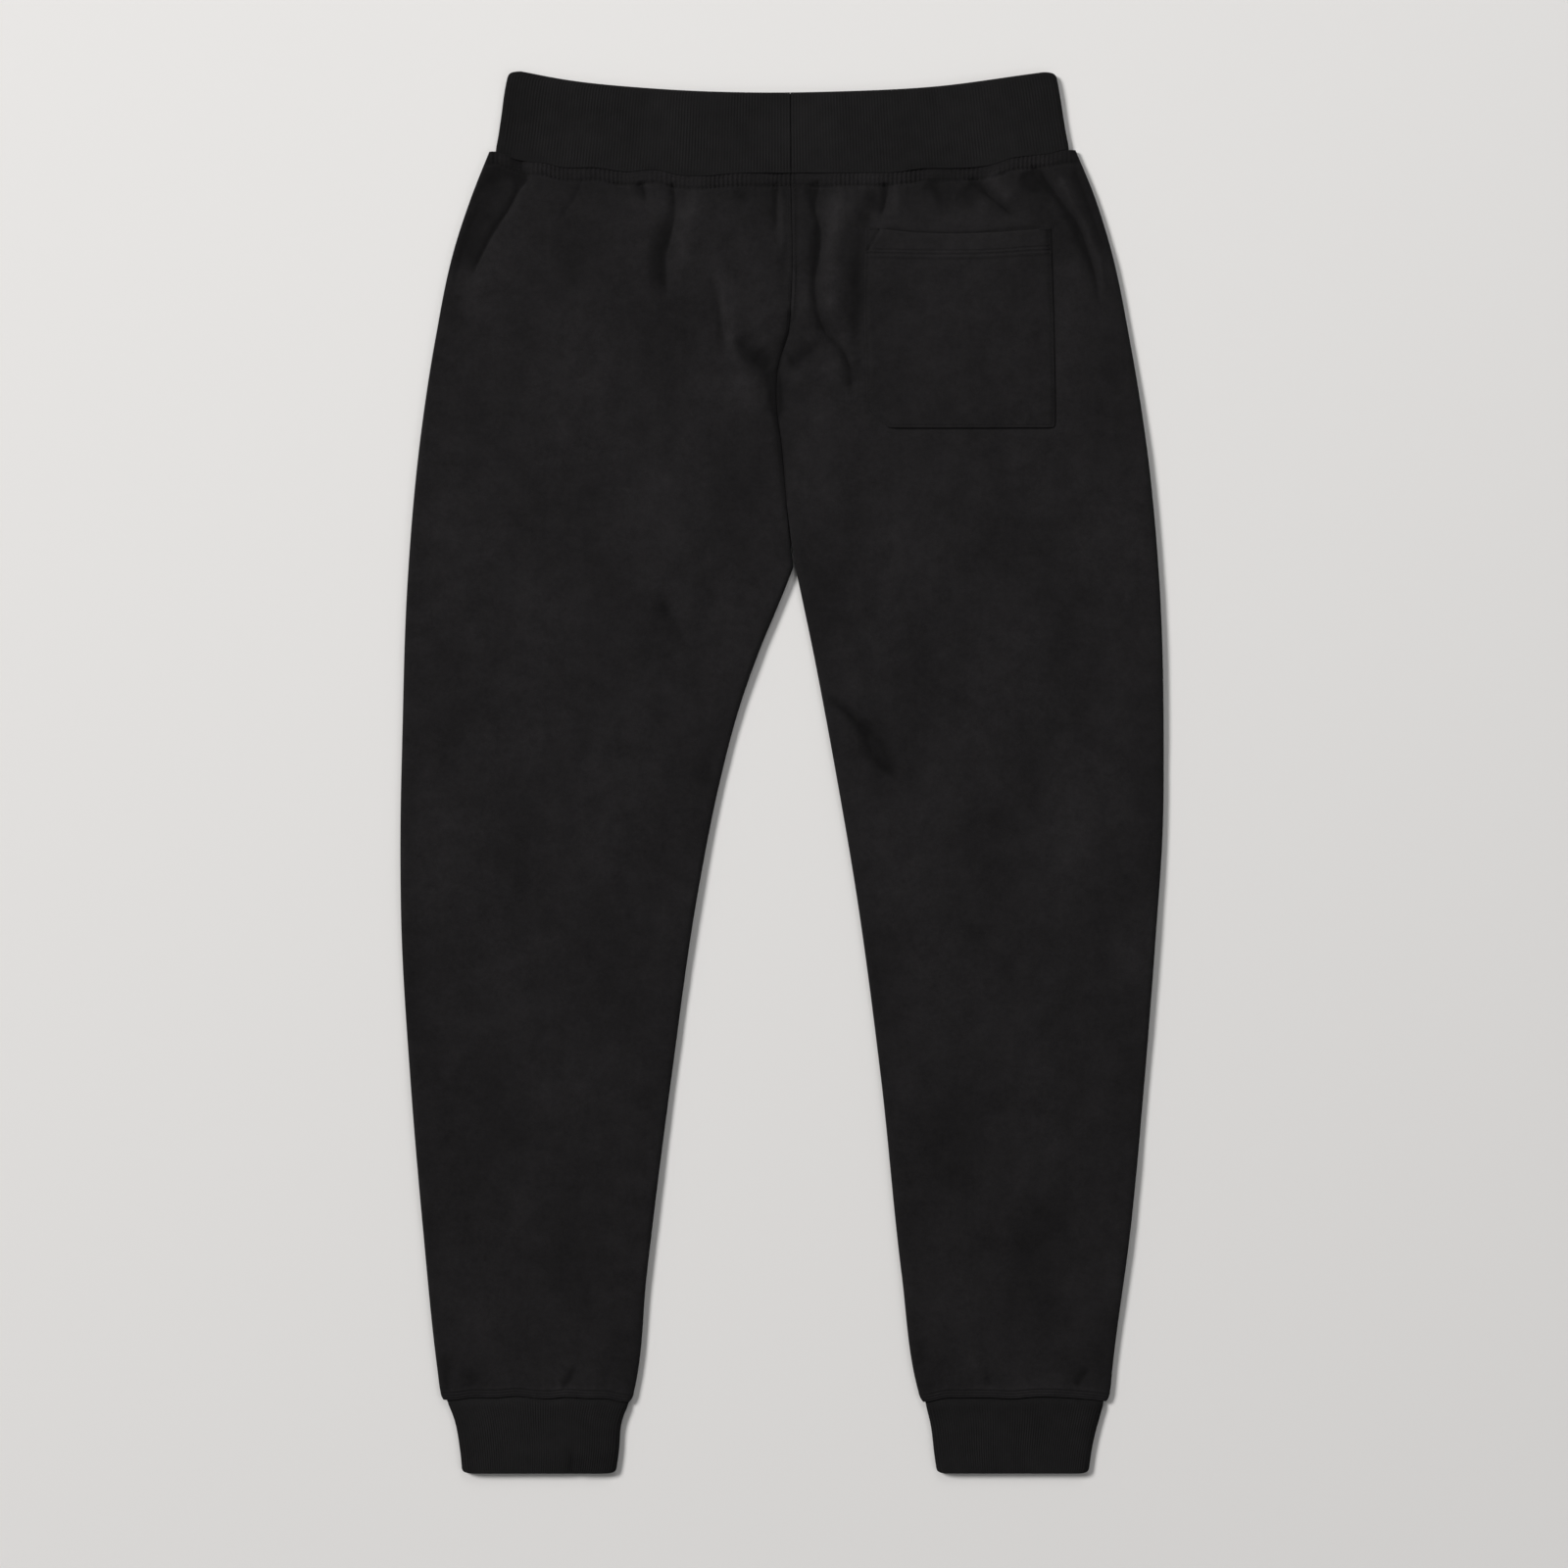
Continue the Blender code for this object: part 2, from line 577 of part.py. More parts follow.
def main():
    clear_scene()
    fleece = make_material("black_fleece", (0.0145, 0.0135, 0.0145), 0.95)
    rib = make_material("black_rib_knit", (0.0118, 0.0112, 0.0116), 0.92)
    for word, side in (("left", LEFT), ("right", RIGHT)):
        make_panel("front_" + word, side, False, FRONT_ROWS, fleece)
        make_panel("back_" + word, side, True, BACK_ROWS, fleece)
    make_pocket(fleece)

    def band_seam(x):
        return waist_seam(x) + SEAM_GAP / 2

    def cuff_seam(x):
        return ankle_seam(x) - SEAM_GAP / 2

    def cuff_end(x):
        return np.full(np.shape(x), CUFF_END_Y)

    band = BAND_SIDES[0]
    centre_place = (band.right - LOOP_ROUND - centre_seam(WAIST_Y)) / (
        band.right - band.left - 2 * LOOP_ROUND
    )
    make_loop("waistband", BAND_SIDES, BAND_LEVELS, band_seam, band_top, BAND_HEIGHT,
              centre_place, BAND_RIB_PITCH, BAND_UNDER_SPANS, rib)
    for name, sides, seam_place in (
        ("cuff_left", LEFT_CUFF_SIDES, MIDDLE_OF_RIGHT_FOLD),
        ("cuff_right", RIGHT_CUFF_SIDES, MIDDLE_OF_LEFT_FOLD),
    ):
        make_loop(name, sides, CUFF_LEVELS, cuff_seam, cuff_end, CUFF_HEIGHT, seam_place,
                  CUFF_RIB_PITCH, CUFF_UNDER_SPANS, rib)


main()
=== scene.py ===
"""Jogger sweatpants in black brushed fleece, laid flat with the back side up.

+X is the wearer's right, +Y runs from the ankles to the waist and +Z points up, out of the
back.  Sizes are in millimetres, but for the flat sizes of the sheets, the lights and the camera,
which are in metres like everything in Blender; MM turns millimetres into metres.
"""
import math
from collections import namedtuple

import bmesh
import bpy
import numpy as np
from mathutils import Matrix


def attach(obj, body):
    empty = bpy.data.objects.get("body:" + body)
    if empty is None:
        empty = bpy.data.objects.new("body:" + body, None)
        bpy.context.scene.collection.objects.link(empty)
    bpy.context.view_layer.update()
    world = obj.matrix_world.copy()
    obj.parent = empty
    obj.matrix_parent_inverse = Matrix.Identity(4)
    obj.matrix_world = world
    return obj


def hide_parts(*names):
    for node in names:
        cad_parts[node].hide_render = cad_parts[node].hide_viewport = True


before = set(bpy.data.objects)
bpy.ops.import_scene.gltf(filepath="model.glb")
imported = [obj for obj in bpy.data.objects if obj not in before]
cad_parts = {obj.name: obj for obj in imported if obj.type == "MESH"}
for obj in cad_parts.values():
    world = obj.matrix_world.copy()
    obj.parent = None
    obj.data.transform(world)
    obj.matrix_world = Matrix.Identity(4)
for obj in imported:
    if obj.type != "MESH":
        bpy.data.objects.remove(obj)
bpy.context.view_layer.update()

MM = 0.001
TURN = 2 * math.pi
LEFT, RIGHT = -1, 1
SIDE_NAMES = {"left": LEFT, "right": RIGHT}

# Cloth
FLEECE = 2.4
THINNEST = 1.0  # least wall under a crease
RIB_KNIT = 3.0
SEAM_GAP = 0.3
WAIST_GAP = 0.12  # between the legs and the waistband
ANKLE_GAP = 0.5  # between the legs and the cuffs
LAID_HEIGHT = 8.4  # top of the back panels above the surface that they lie on
EDGE_HEIGHT = 4.2  # height of the side seams and inseams
EDGE_ROUND = 5.0  # how far in a panel starts to turn towards a side seam or inseam
EDGE_DRAW = 0.45  # how far the sewing draws the very edge in
SHOULDER = 30.0  # how far in the cloth starts to thin out towards the edges
HIP_DROP, LEG_DROP = 1.5, 0.5  # by how much, above and below the seat
HIP_FROM, HIP_EASE = 230, 160  # from where up the drop changes, and over what length
WAIST_DROP, CALF_DROP = 0.9, 0.45  # how much lower the cloth lies there than on seat and thighs
WAIST_DIP, WAIST_DIP_WIDTH = 14, 10  # how far below the waist seam it is lowest
CALF_FROM, CALF_EASE = -60, 200
WAIST_RIM, ANKLE_RIM, CENTRE_RIM = 0.3, 0.6, 0.7  # rounding of its edges at those seams
CROTCH_Y = 158.0
CROTCH_FLARE = 50.0  # length above the crotch where the centre seam sinks between the legs
FRONT_SEAM_ASIDE = 0.9  # how far the front's centre seam lies beside the back's
WAIST_Y = 458.0
ANKLE_Y = -480.0
WAIST_REACH = 110.0  # how far below the waist seam the rows of points follow its curve
ANKLE_REACH = 40.0  # how far above the ankle seams they follow their waves
CUFF_END_Y = -535.5
LOOP_ROUND = 5.0  # width of the fold at each side of the waistband and the cuffs

# Sheets as they are cut, in metres and square metres
BAND_FLAT, BAND_AREA = (0.885, 0.064), 0.054
CUFF_FLAT, CUFF_AREA = (0.28, 0.058), 0.0145

# Rows of sewing
FRONT_SEWN_LIFT = 0.45  # room for the threads under the front's rows
WAIST_SEWN = -216, 218  # from where to where the waist's rows run
COVER_DEPTH = 10.0  # height of the coverstitched strip under the waist seam
COVER_ROWS = (2.2, 8.6)  # its two rows, below the seam
COVER_END = 10.3  # groove where the strip ends
BAR_PITCH = 3.4  # cross threads of the strip
ANKLES_SEWN = (-256, -118), (110, 246)
ANKLE_ROWS = (1.3, 3.4, 5.5)  # rows above the ankle seams
CENTRE_ROW = 2.5  # rows on both sides of the centre seam
CENTRE_ROWS_FROM = 346.0  # below this height the centre seam lies in a fold
ROW_PITCH, ANKLE_PITCH = 3.0, 2.8  # from stitch to stitch
ROW_STITCH, ANKLE_STITCH, CROSS_STITCH, TACK_STITCH = 2.3, 2.2, 3.2, 1.8  # lengths of the stitches


def table(columns, *rows):
    """Rows of numbers with named columns."""
    kind = namedtuple("Row", columns)
    return tuple(kind(*row) for row in rows)


# Outer edges of the legs, inseams, centre seam, waist seam, top of the waistband and ankle seams
SIDES = table(
    "y left right",
    (-482, -256.3, 246.8), (-480, -258.9, 248.9), (-477, -260.9, 250.6), (-472, -262.1, 251.6),
    (-458, -264.0, 253.0), (-346, -275.5, 267.5), (-233, -285.0, 278.0), (-121, -291.7, 286.7),
    (-46, -292.5, 291.7), (30, -291.0, 292.5), (142, -287.3, 289.5), (254, -277.5, 279.0),
    (329, -266.3, 267.0), (404, -250.5, 251.3), (442, -237.8, 239.3), (478, -223.5, 224.5)
)
INSEAMS = table(
    "y left right",
    (-482, -117.4, 108.6), (-480, -115.3, 106.5), (-477, -113.6, 104.8), (-472, -112.4, 103.4),
    (-383, -102.8, 90.8), (-233, -84.0, 75.0), (-83, -62.3, 54.8), (-8, -47.3, 42.0),
    (52, -31.5, 31.1), (93, -17.0, 23.2), (134, 0.0, 14.6), (148, 5.6, 11.6),
    (CROTCH_Y, 9.4, 9.4)
)
CENTRE_SEAM = table(
    "y x",
    (CROTCH_Y, 9.4), (175, 7.0), (202, 3.8), (250, -0.4), (285, -4.5), (312, -3.0), (338, 4.8),
    (362, 6.8), (460, 6.8)
)
WAIST_SEAM = table(
    "x y",
    (-226, 475.5), (-216, 475.0), (-208, 470.8), (-196, 467.6), (-180, 465.8), (-170, 463.2),
    (-142, 462.6), (-118, 459.4), (-98, 461.0), (-78, 456.8), (-62, 456.2), (-36, 458.2),
    (6, 458.6), (62, 458.6), (88, 459.2), (106, 461.8), (130, 462.2), (148, 463.0), (162, 465.2),
    (176, 470.0), (190, 471.8), (204, 473.4), (216, 476.4), (226, 476.6)
)
BAND_TOP = table(
    "x y",
    (-205, 536.0), (-178, 531.0), (-103, 523.5), (-28, 520.5), (47, 521.3), (122, 525.0),
    (205, 535.5)
)
ANKLE_SEAM = table(
    "x y",
    (-262, -479.5), (-250, -479.3), (-238, -477.7), (-218, -477.5), (-202, -476.3),
    (-188, -477.8), (-178, -478.1), (-166, -476.9), (-150, -477.8), (-133, -478.4),
    (-122, -480.7), (-114, -481.5), (104, -481.5), (112, -480.7), (123, -478.1), (140, -477.6),
    (158, -477.4), (176, -478.2), (193, -476.8), (220, -477.5), (237, -479.1), (250, -480.9)
)

# Sides of the knitted loops; level runs from 0 at the seam to 1 at the free end
BAND_SIDES = table(
    "level left right",
    (0.0, -219.0, 219.5), (0.4, -215.0, 215.3), (0.8, -211.5, 211.6), (1.0, -209.0, 209.2)
)
LEFT_CUFF_SIDES = table(
    "level left right",
    (0.0, -256.2, -117.3), (0.25, -250.5, -122.5), (0.7, -246.0, -125.0), (1.0, -244.2, -127.6)
)
RIGHT_CUFF_SIDES = table(
    "level left right",
    (0.0, 109.8, 246.0), (0.33, 114.0, 241.0), (0.7, 116.5, 236.5), (1.0, 118.9, 234.2)
)

POCKET_SIDES = table(
    "y left right",
    (263.8, 83.0, 206.0), (264.5, 80.6, 207.6), (266.3, 78.4, 208.6), (279.8, 65.0, 208.8),
    (350.0, 62.6, 207.5), (416.8, 63.7, 205.5)
)
POCKET_STITCH = table(
    "x y",
    (65.8, 414.8), (64.6, 350.0), (67.0, 281.1), (79.6, 268.6), (84.0, 266.2), (205.4, 266.2),
    (206.7, 267.7), (205.6, 350.0), (203.7, 415.8)
)
TACKS = table("start stop y", (66.6, 73.8, 415.7), (196.4, 203.6, 415.4))  # at the mouth's ends
TACK_THREADS = 15
POCKET_SAG = 4.5  # how far the middle of the mouth hangs below its corners
POCKET_LIFT = 0.3  # above the panel under it
POCKET_WALL, POCKET_THINNEST = 1.8, 0.35
POCKET_LEFT_EDGE, POCKET_RIGHT_EDGE = 1.0, 0.8  # thickness where its sides are sewn down
POCKET_HEM_EDGE = 0.6  # thickness at the right end of its hem
POCKET_FOOT_EDGE = 1.5
POCKET_SIDE_EASE, POCKET_FOOT_EASE = 5.5, 8.0  # how far in it has its full thickness
POCKET_RIM = 0.6  # rounding of its edges
RIM_STEPS = (0.0, 0.1, 0.3, 0.6, 0.95, 1.35, 1.8, 2.4, 3.2)  # points from an edge inwards
RIM_WIDTH = 4.4
HEM_RISE = 0.7  # how far the doubled hem stands out
HEM_SEWN = 66, 204.6  # from where to where its rows run
HEM_STITCH = table(
    "x y",
    (62, 398.7), (100, 397.7), (137, 397.4), (165, 398.3), (190, 400.2), (206, 401.0)
)
HEM_ROW_GAP = 3.1  # from the row above down to the second one
HEM_CORNER = (76.3, 416.1), (67.1, 400.5)  # slanting end of the hem, from the mouth down

# Folds and creases of the back, each along its path from the waist down or from side to side.
# rise is the height of a ridge, or the depth of a hollow where it is negative.  sharp runs from 0,
# a rounded section, to 1, a crease.  west and east are how far it spreads to each side, east
# being the side of the wearer's right on a path that runs down.  It fades in and out over lengths
# along its path.
Fold = namedtuple("Fold", "rise sharp west east fade_in fade_out path")


def folds(*rows):
    """Folds from their rows; what follows a row's fade_out is its path."""
    return tuple(Fold(*row[:6], row[6:]) for row in rows)


FOLDS = folds(
    # Left hip
    (-3.6, 0.3, 6, 5, 3, 8, (-199, 472), (-202, 465), (-200, 456), (-202, 446)),
    (-3.4, 0.85, 5, 1.8, 6, 22, (-194, 457), (-201, 447), (-206, 437), (-210.5, 429), (-217, 420),
     (-229, 398), (-240, 374)),
    (-0.4, 0, 8, 14, 10, 30, (-189, 450), (-201, 430), (-212, 410), (-222, 380)),
    (-2.0, 0, 13, 11, 10, 36, (-216, 470), (-222, 440), (-236, 404), (-249, 372)),
    (-0.9, 1, 2.5, 3, 12, 20, (-231, 436), (-246, 395), (-252, 366)),
    # Left pleats under the waistband
    (-0.9, 1, 3, 2, 5, 16, (-153, 454), (-158, 441), (-164, 432), (-170, 422)),
    (-2.8, 0.4, 4, 3, 4, 12, (-109, 453), (-106, 445), (-101.5, 432)),
    (-2.8, 1, 5, 2.5, 5, 22, (-83.4, 453), (-82.3, 435), (-83, 422), (-86, 408), (-89.5, 397),
     (-89.5, 382), (-87.5, 358)),
    (-1.9, 0, 8, 5, 24, 24, (-86, 434), (-88, 412), (-93, 397), (-93, 382), (-91, 356)),
    (2.0, 0, 8, 9, 16, 30, (-66, 452), (-67, 430), (-74, 408), (-80, 372)),
    (-0.8, 0.1, 5, 5, 6, 10, (-30, 452), (-28, 430)),
    # Left seat
    (-0.9, 0, 9, 8, 8, 10, (-45, 414), (-31, 403)),
    (-1.5, 0.8, 5, 2.5, 30, 18, (-55.5, 386), (-49.5, 362), (-48, 351), (-45.8, 336), (-41.5, 314)),
    (1.8, 0, 4.5, 8, 40, 20, (-53.5, 404), (-47.5, 380), (-43.5, 358), (-39.5, 339), (-36.5, 324),
     (-31.5, 304)),
    (-3.2, 0.15, 5, 9, 12, 26, (-37.5, 335), (-29.5, 326), (-21.5, 317), (-13.5, 308), (-7.5, 297),
     (-4.5, 284), (-2.5, 262)),
    (-1.9, 0, 7, 8, 8, 8, (-21, 324), (-4, 311)),
    (1.8, 0, 10, 8, 14, 30, (-33, 310), (-27, 288), (-20, 255)),
    # Left of the centre seam
    (-2.2, 0.8, 3.5, 2.5, 4, 16, (-4, 453), (-4.3, 430), (-4.6, 408)),
    (1.2, 0, 3.5, 3, 16, 14, (-0.5, 452), (0, 425), (0.5, 394)),
    (-0.9, 0.2, 4, 4, 12, 12, (2, 404), (1, 380), (3, 352)),
    # Left thigh, knee and shin
    (-1.8, 0.6, 4, 3, 8, 22, (-91, 134), (-88, 123), (-82, 111), (-77, 101), (-71, 90), (-68, 82)),
    (-1.5, 0, 6, 5, 8, 16, (-94, 142), (-91, 126), (-84, 110)),
    (1.0, 0, 7, 8, 12, 18, (-78, 152), (-76, 130), (-69, 106)),
    (-0.7, 0, 5, 4, 12, 16, (-53, 146), (-50, 118)),
    (-0.6, 0, 9, 8, 14, 20, (-71, 88), (-64, 60), (-58, 34)),
    (-0.6, 0.1, 9, 8, 16, 30, (-40, 38), (-54, 18), (-62, -24)),
    (-0.6, 0, 14, 12, 14, 14, (-201, -266), (-177, -290)),
    # Centre seam
    (-0.7, 1, 0.9, 1.4, 10, 3, (11.4, 457), (11.4, 388), (11.2, 360), (10.5, 350), (7.4, 343)),
    (0.6, 0, 1.1, 1.1, 14, 8, (9.3, 400), (9.3, 362), (8.6, 350)),
    (-1.3, 1, 2.2, 0.9, 14, 4, (6.9, 388), (6.9, 362), (6.6, 346)),
    (-3.0, 1, 2.8, 4.2, 12, 90, (6.8, 358), (6, 341), (1.5, 326), (-1.5, 314), (-4, 302), (-4.5, 285),
     (-0.4, 250), (3.8, 202), (9, 160)),
    # Right pleat
    (-2.8, 1, 4, 2.6, 6, 12, (28.4, 455), (25.9, 444), (24.8, 435), (26.5, 424), (29.2, 415),
     (29.6, 408), (28.1, 395), (25.9, 384), (24.8, 377), (25.4, 364), (27, 353), (30.3, 342),
     (35.8, 333)),
    (-1.2, 0.2, 4, 2.5, 6, 14, (26.8, 454), (23.8, 440), (24.8, 428)),
    (-2.0, 0.1, 5, 3, 14, 16, (28, 424), (28, 410), (27, 396), (24, 376)),
    (-1.8, 1, 2, 2.5, 8, 10, (29.5, 344), (35.5, 333), (42.1, 326.7), (47.7, 320), (51.5, 312)),
    (-2.6, 0.5, 4, 3, 16, 14, (43.5, 326), (47.7, 320), (51.7, 311), (53.2, 298), (53, 286)),
    (2.6, 0, 7, 9, 16, 22, (45, 452), (42, 420), (38, 404), (37, 376), (41, 338)),
    (-1.7, 0, 9, 8, 26, 22, (63, 442), (59, 405), (57, 370), (56, 328)),
    (1.1, 0, 4, 5, 4, 5, (45, 336), (58, 312)),
    # Right seat
    (-2.5, 0, 7, 6.5, 18, 8, (34, 333), (25, 325), (16.5, 319), (9.5, 314), (2.5, 311)),
    (1.9, 0, 9, 8, 8, 12, (37, 318), (41, 304), (43, 290)),
    (-1.0, 0, 9, 8, 10, 12, (25, 300), (9, 278)),
    (0.8, 0, 5, 5, 8, 8, (19, 378), (19, 350)),
    # From the pocket's left corner to the right hip
    (-3.2, 0.9, 5, 2.2, 5, 7, (80.4, 453), (80, 444), (78, 433), (74.5, 423)),
    (-2.1, 0, 9, 6, 14, 14, (71, 450), (68, 434), (63, 412)),
    (1.1, 0, 3, 8, 6, 10, (88.5, 453), (87.5, 438), (83.5, 422)),
    (-2.2, 0.2, 7, 6, 8, 16, (111, 455), (119, 442), (132, 424)),
    (-1.4, 0, 12, 10, 8, 12, (135, 448), (153, 430)),
    (-3.2, 0.8, 4, 4, 8, 14, (142.5, 457), (150.5, 449), (158.5, 441), (168.5, 433), (181.5, 422)),
    (2.2, 0, 6, 6, 6, 12, (156, 458), (168, 446), (182, 434)),
    # Round the pocket
    (-1.4, 1, 1.2, 0.6, 14, 6, (202, 416.5), (190, 415.9), (162, 413.7), (140, 412.2), (119, 412.2),
     (104, 412.8), (77, 415.8)),
    (-0.3, 1, 0.7, 1.0, 8, 4, (208.2, 402), (209.4, 340), (209.8, 314), (209.4, 266)),
    (-0.2, 1, 0.6, 1.3, 8, 8, (206, 263.3), (140, 263.1), (82, 263.3)),
    (-0.4, 1, 1.3, 0.6, 3, 3, (64.6, 279.8), (78.6, 265.3)),
    (-0.8, 0, 5, 4, 20, 20, (60, 412), (58, 350), (60, 290)),
    # Right hip
    (-1.1, 0, 13, 9, 14, 30, (184, 462), (196, 440), (212, 410), (221, 380)),
    (-4.4, 0.95, 4, 3, 10, 46, (190, 466), (197, 458), (202.5, 450), (212, 438), (219.5, 428),
     (224.5, 421), (228, 413), (231.5, 404), (236.5, 391), (244, 350)),
    (-2.2, 0, 6, 5, 6, 10, (185, 461), (191, 452), (200, 441)),
    (-1.3, 0, 4.5, 3, 14, 18, (218, 430), (229, 408), (235, 386)),
    (1.9, 0, 4, 4, 10, 40, (211.5, 458), (225, 431), (234.5, 411), (241, 392), (250.5, 355)),
    (-2.3, 0, 6, 8, 12, 34, (225, 466), (239, 428), (251.5, 384)),
    # Right thigh, knee and shin
    (-2.5, 0.7, 4, 4, 12, 12, (34, 61), (46, 49.5), (57.5, 37), (63, 29), (66, 20), (71, 10),
     (78, 2.6), (90, -5)),
    (-1.8, 0, 7, 7, 12, 18, (58, 42), (68, 31), (75.5, 20), (82.5, 6), (91, -6)),
    (-1.2, 0, 4, 4, 8, 12, (44, 54), (59, 39), (72, 28)),
    (-0.9, 0, 11, 9, 12, 14, (125, -104), (141, -118), (163, -142)),
    (-0.7, 0, 14, 12, 14, 14, (204, -318), (218, -360)),
    # Ankles
    (-0.8, 0.3, 4, 5, 10, 3, (-256, -440), (-256, -474)),
    (-0.8, 0.4, 4, 3.5, 5, 4, (-239, -457), (-235, -471)),
    (-2.0, 0.5, 4, 3.5, 6, 4, (-157, -453), (-161, -462), (-168, -471)),
    (-0.8, 0.2, 5, 5, 10, 6, (108, -428), (107, -456)),
    (0.7, 0, 5, 5, 6, 6, (148, -440), (148, -460)),
    (-1.2, 0.6, 4, 3, 4, 3, (156, -459), (161, -470)),
    (-1.8, 0.6, 4, 3, 5, 3, (235, -454), (225, -470)),
)
PATH_STEP = 5.0  # how finely a fold's path is rounded
FOLD_TAPER = 0.5  # how much narrower a fold is where it fades out
FOLD_WAVER = 0.12  # how much its width changes along it
FOLD_REACH = 6  # in widths, how far from its path it is worked out
LOOP_FOLDS = folds(
    # Waistband
    (-1.9, 0, 12, 34, 2, 2, (-207, 548), (-220, 462)),
    (-1.0, 0, 26, 12, 2, 2, (206, 548), (219, 462)),
    (-0.5, 0, 22, 18, 10, 10, (-120, 524), (-108, 470)),
    # Left cuff
    (-1.3, 0, 5, 8, 2, 2, (-257, -476), (-248, -500), (-244, -545)),
    (-1.5, 0, 9, 5, 2, 2, (-117, -476), (-123, -500), (-127, -545)),
    (-1.1, 0.4, 3, 3, 5, 3, (-160, -519), (-161, -542)),
    # Right cuff
    (-1.3, 0, 5, 7, 2, 2, (111, -476), (115, -500), (118, -545)),
    (-1.5, 0, 8, 5, 2, 2, (246, -476), (240, -500), (235, -545)),
)
CREASE_ROUND = 0.5  # rounding at the bottom of a crease
CREASE_CORE = 1.3  # how far its steepest part spreads
CREASE_CORE_SHARE = 0.25  # how much of its depth lies there

# The same kind of folds on the front, which lies underneath; rise is how far they lift
FRONT_FOLDS = folds(
    # Left
    (1.6, 0, 6, 6, 6, 30, (-72, 452), (-80, 410), (-84, 372)),
    (1.1, 0, 4, 4, 4, 20, (-140, 456), (-136, 424)),
    (1.5, 0, 6, 6, 8, 40, (-205, 448), (-226, 410), (-240, 366)),
    (1.4, 0, 7, 7, 20, 30, (-16, 360), (-34, 318), (-62, 286)),
    (1.3, 0, 7, 7, 12, 24, (-44, 120), (-74, 84), (-112, 70)),
    (0.9, 0, 10, 10, 24, 24, (-240, -52), (-186, -70), (-140, -62)),
    (1.1, 0, 5, 5, 10, 3, (-196, -448), (-190, -474)),
    (0.9, 0, 5, 5, 10, 3, (-140, -440), (-146, -474)),
    # Right
    (1.7, 0, 6, 6, 6, 34, (66, 452), (70, 416), (66, 376)),
    (1.0, 0, 4, 4, 4, 18, (124, 456), (130, 428)),
    (1.4, 0, 6, 6, 8, 40, (206, 452), (224, 412), (238, 372)),
    (1.6, 0, 7, 7, 20, 30, (22, 352), (44, 312), (72, 282)),
    (1.3, 0, 7, 7, 12, 24, (48, 96), (82, 66), (116, 58)),
    (0.9, 0, 10, 10, 24, 24, (236, -40), (180, -66), (128, -60)),
    (1.1, 0, 5, 5, 10, 3, (212, -446), (204, -474)),
    (0.8, 0, 5, 5, 10, 3, (136, -444), (140, -474)),
)

# Broad, shallow waves of the cloth
SWELLS = table(
    "height length_x length_y start",
    (0.35, 170.0, 260.0, 0.4), (0.30, -120.0, 190.0, 2.1), (0.20, 90.0, -410.0, 4.0)
)

# Rows of points on a panel: from start to stop, how far apart, and how many points in a row
END_STEPS = (0.0, 0.1, 0.3, 0.6, 1.0, 1.5)  # rows at the sewn ends, from the seam
BACK_BANDS = table(
    "start stop spacing columns",
    (ANKLE_Y + 2, ANKLE_Y + 9, 0.7, 250), (ANKLE_Y + 9, -440, 1.6, 120), (-440, 140, 3.2, 90),
    (140, 258, 2.0, 140), (258, 270, 0.9, 200), (270, 410, 1.4, 200), (410, 422, 0.6, 200),
    (422, WAIST_Y - 12, 1.3, 220), (WAIST_Y - 12, WAIST_Y - 2, 0.65, 440)
)
FRONT_BANDS = table(
    "start stop spacing columns",
    (ANKLE_Y + 2, ANKLE_Y + 9, 0.9, 200), (ANKLE_Y + 9, 140, 5.0, 60),
    (140, WAIST_Y - 12, 3.2, 90), (WAIST_Y - 12, WAIST_Y - 2, 0.9, 360)
)
TURN_ANGLES = np.radians((90, 78, 66, 54, 42, 30, 18, 8))


def smooth_step(t):
    """Eased 0 to 1 as t goes from 0 to 1."""
    t = np.clip(t, 0.0, 1.0)
    return t * t * (3.0 - 2.0 * t)


def mix(a, b, share):
    return a + (b - a) * share


def bell(t):
    return np.exp(-t * t)


def turned_down(distance, radius):
    """How far a rounded edge falls below its face at a distance from its end."""
    inside = np.clip(1 - distance / radius, 0.0, 1.0)
    return radius * (1 - np.sqrt(1 - inside * inside))


def curve(positions, values):
    """Smooth function through the values, straight beyond its ends."""
    at = np.array(positions, float)
    value = np.array(values, float)
    slope = np.gradient(value, at)

    def read(position):
        inside = np.clip(position, at[0], at[-1])
        i = np.clip(np.searchsorted(at, inside) - 1, 0, len(at) - 2)
        span = at[i + 1] - at[i]
        t = (inside - at[i]) / span
        eased = t * t * (3 - 2 * t)
        bend = slope[i] * t * (1 - t) ** 2 - slope[i + 1] * t * t * (1 - t)
        beyond = np.where(position < at[0], slope[0], slope[-1]) * (position - inside)
        return mix(value[i], value[i + 1], eased) + span * bend + beyond

    return read


def column(rows, name):
    """Curve of one named column of a table against its first column."""
    return curve([row[0] for row in rows], [getattr(row, name) for row in rows])


def uneven(x, y, length, seed):
    """Smooth field of about -1 to 1 with hills about length apart, the same each run."""
    draw = np.random.default_rng(seed)
    waves = 8
    total = 0.0
    for _ in range(waves):
        turn, shift = draw.uniform(0, TURN, 2)
        span = length * draw.uniform(0.7, 1.5)
        total = total + np.sin(TURN * (x * math.cos(turn) + y * math.sin(turn)) / span + shift)
    return total / math.sqrt(waves)


side_edge = {side: column(SIDES, name) for name, side in SIDE_NAMES.items()}
inseam = {side: column(INSEAMS, name) for name, side in SIDE_NAMES.items()}
centre_seam = column(CENTRE_SEAM, "x")
waist_seam = column(WAIST_SEAM, "y")
ankle_seam = column(ANKLE_SEAM, "y")
band_top = column(BAND_TOP, "y")
hem_stitch = column(HEM_STITCH, "y")


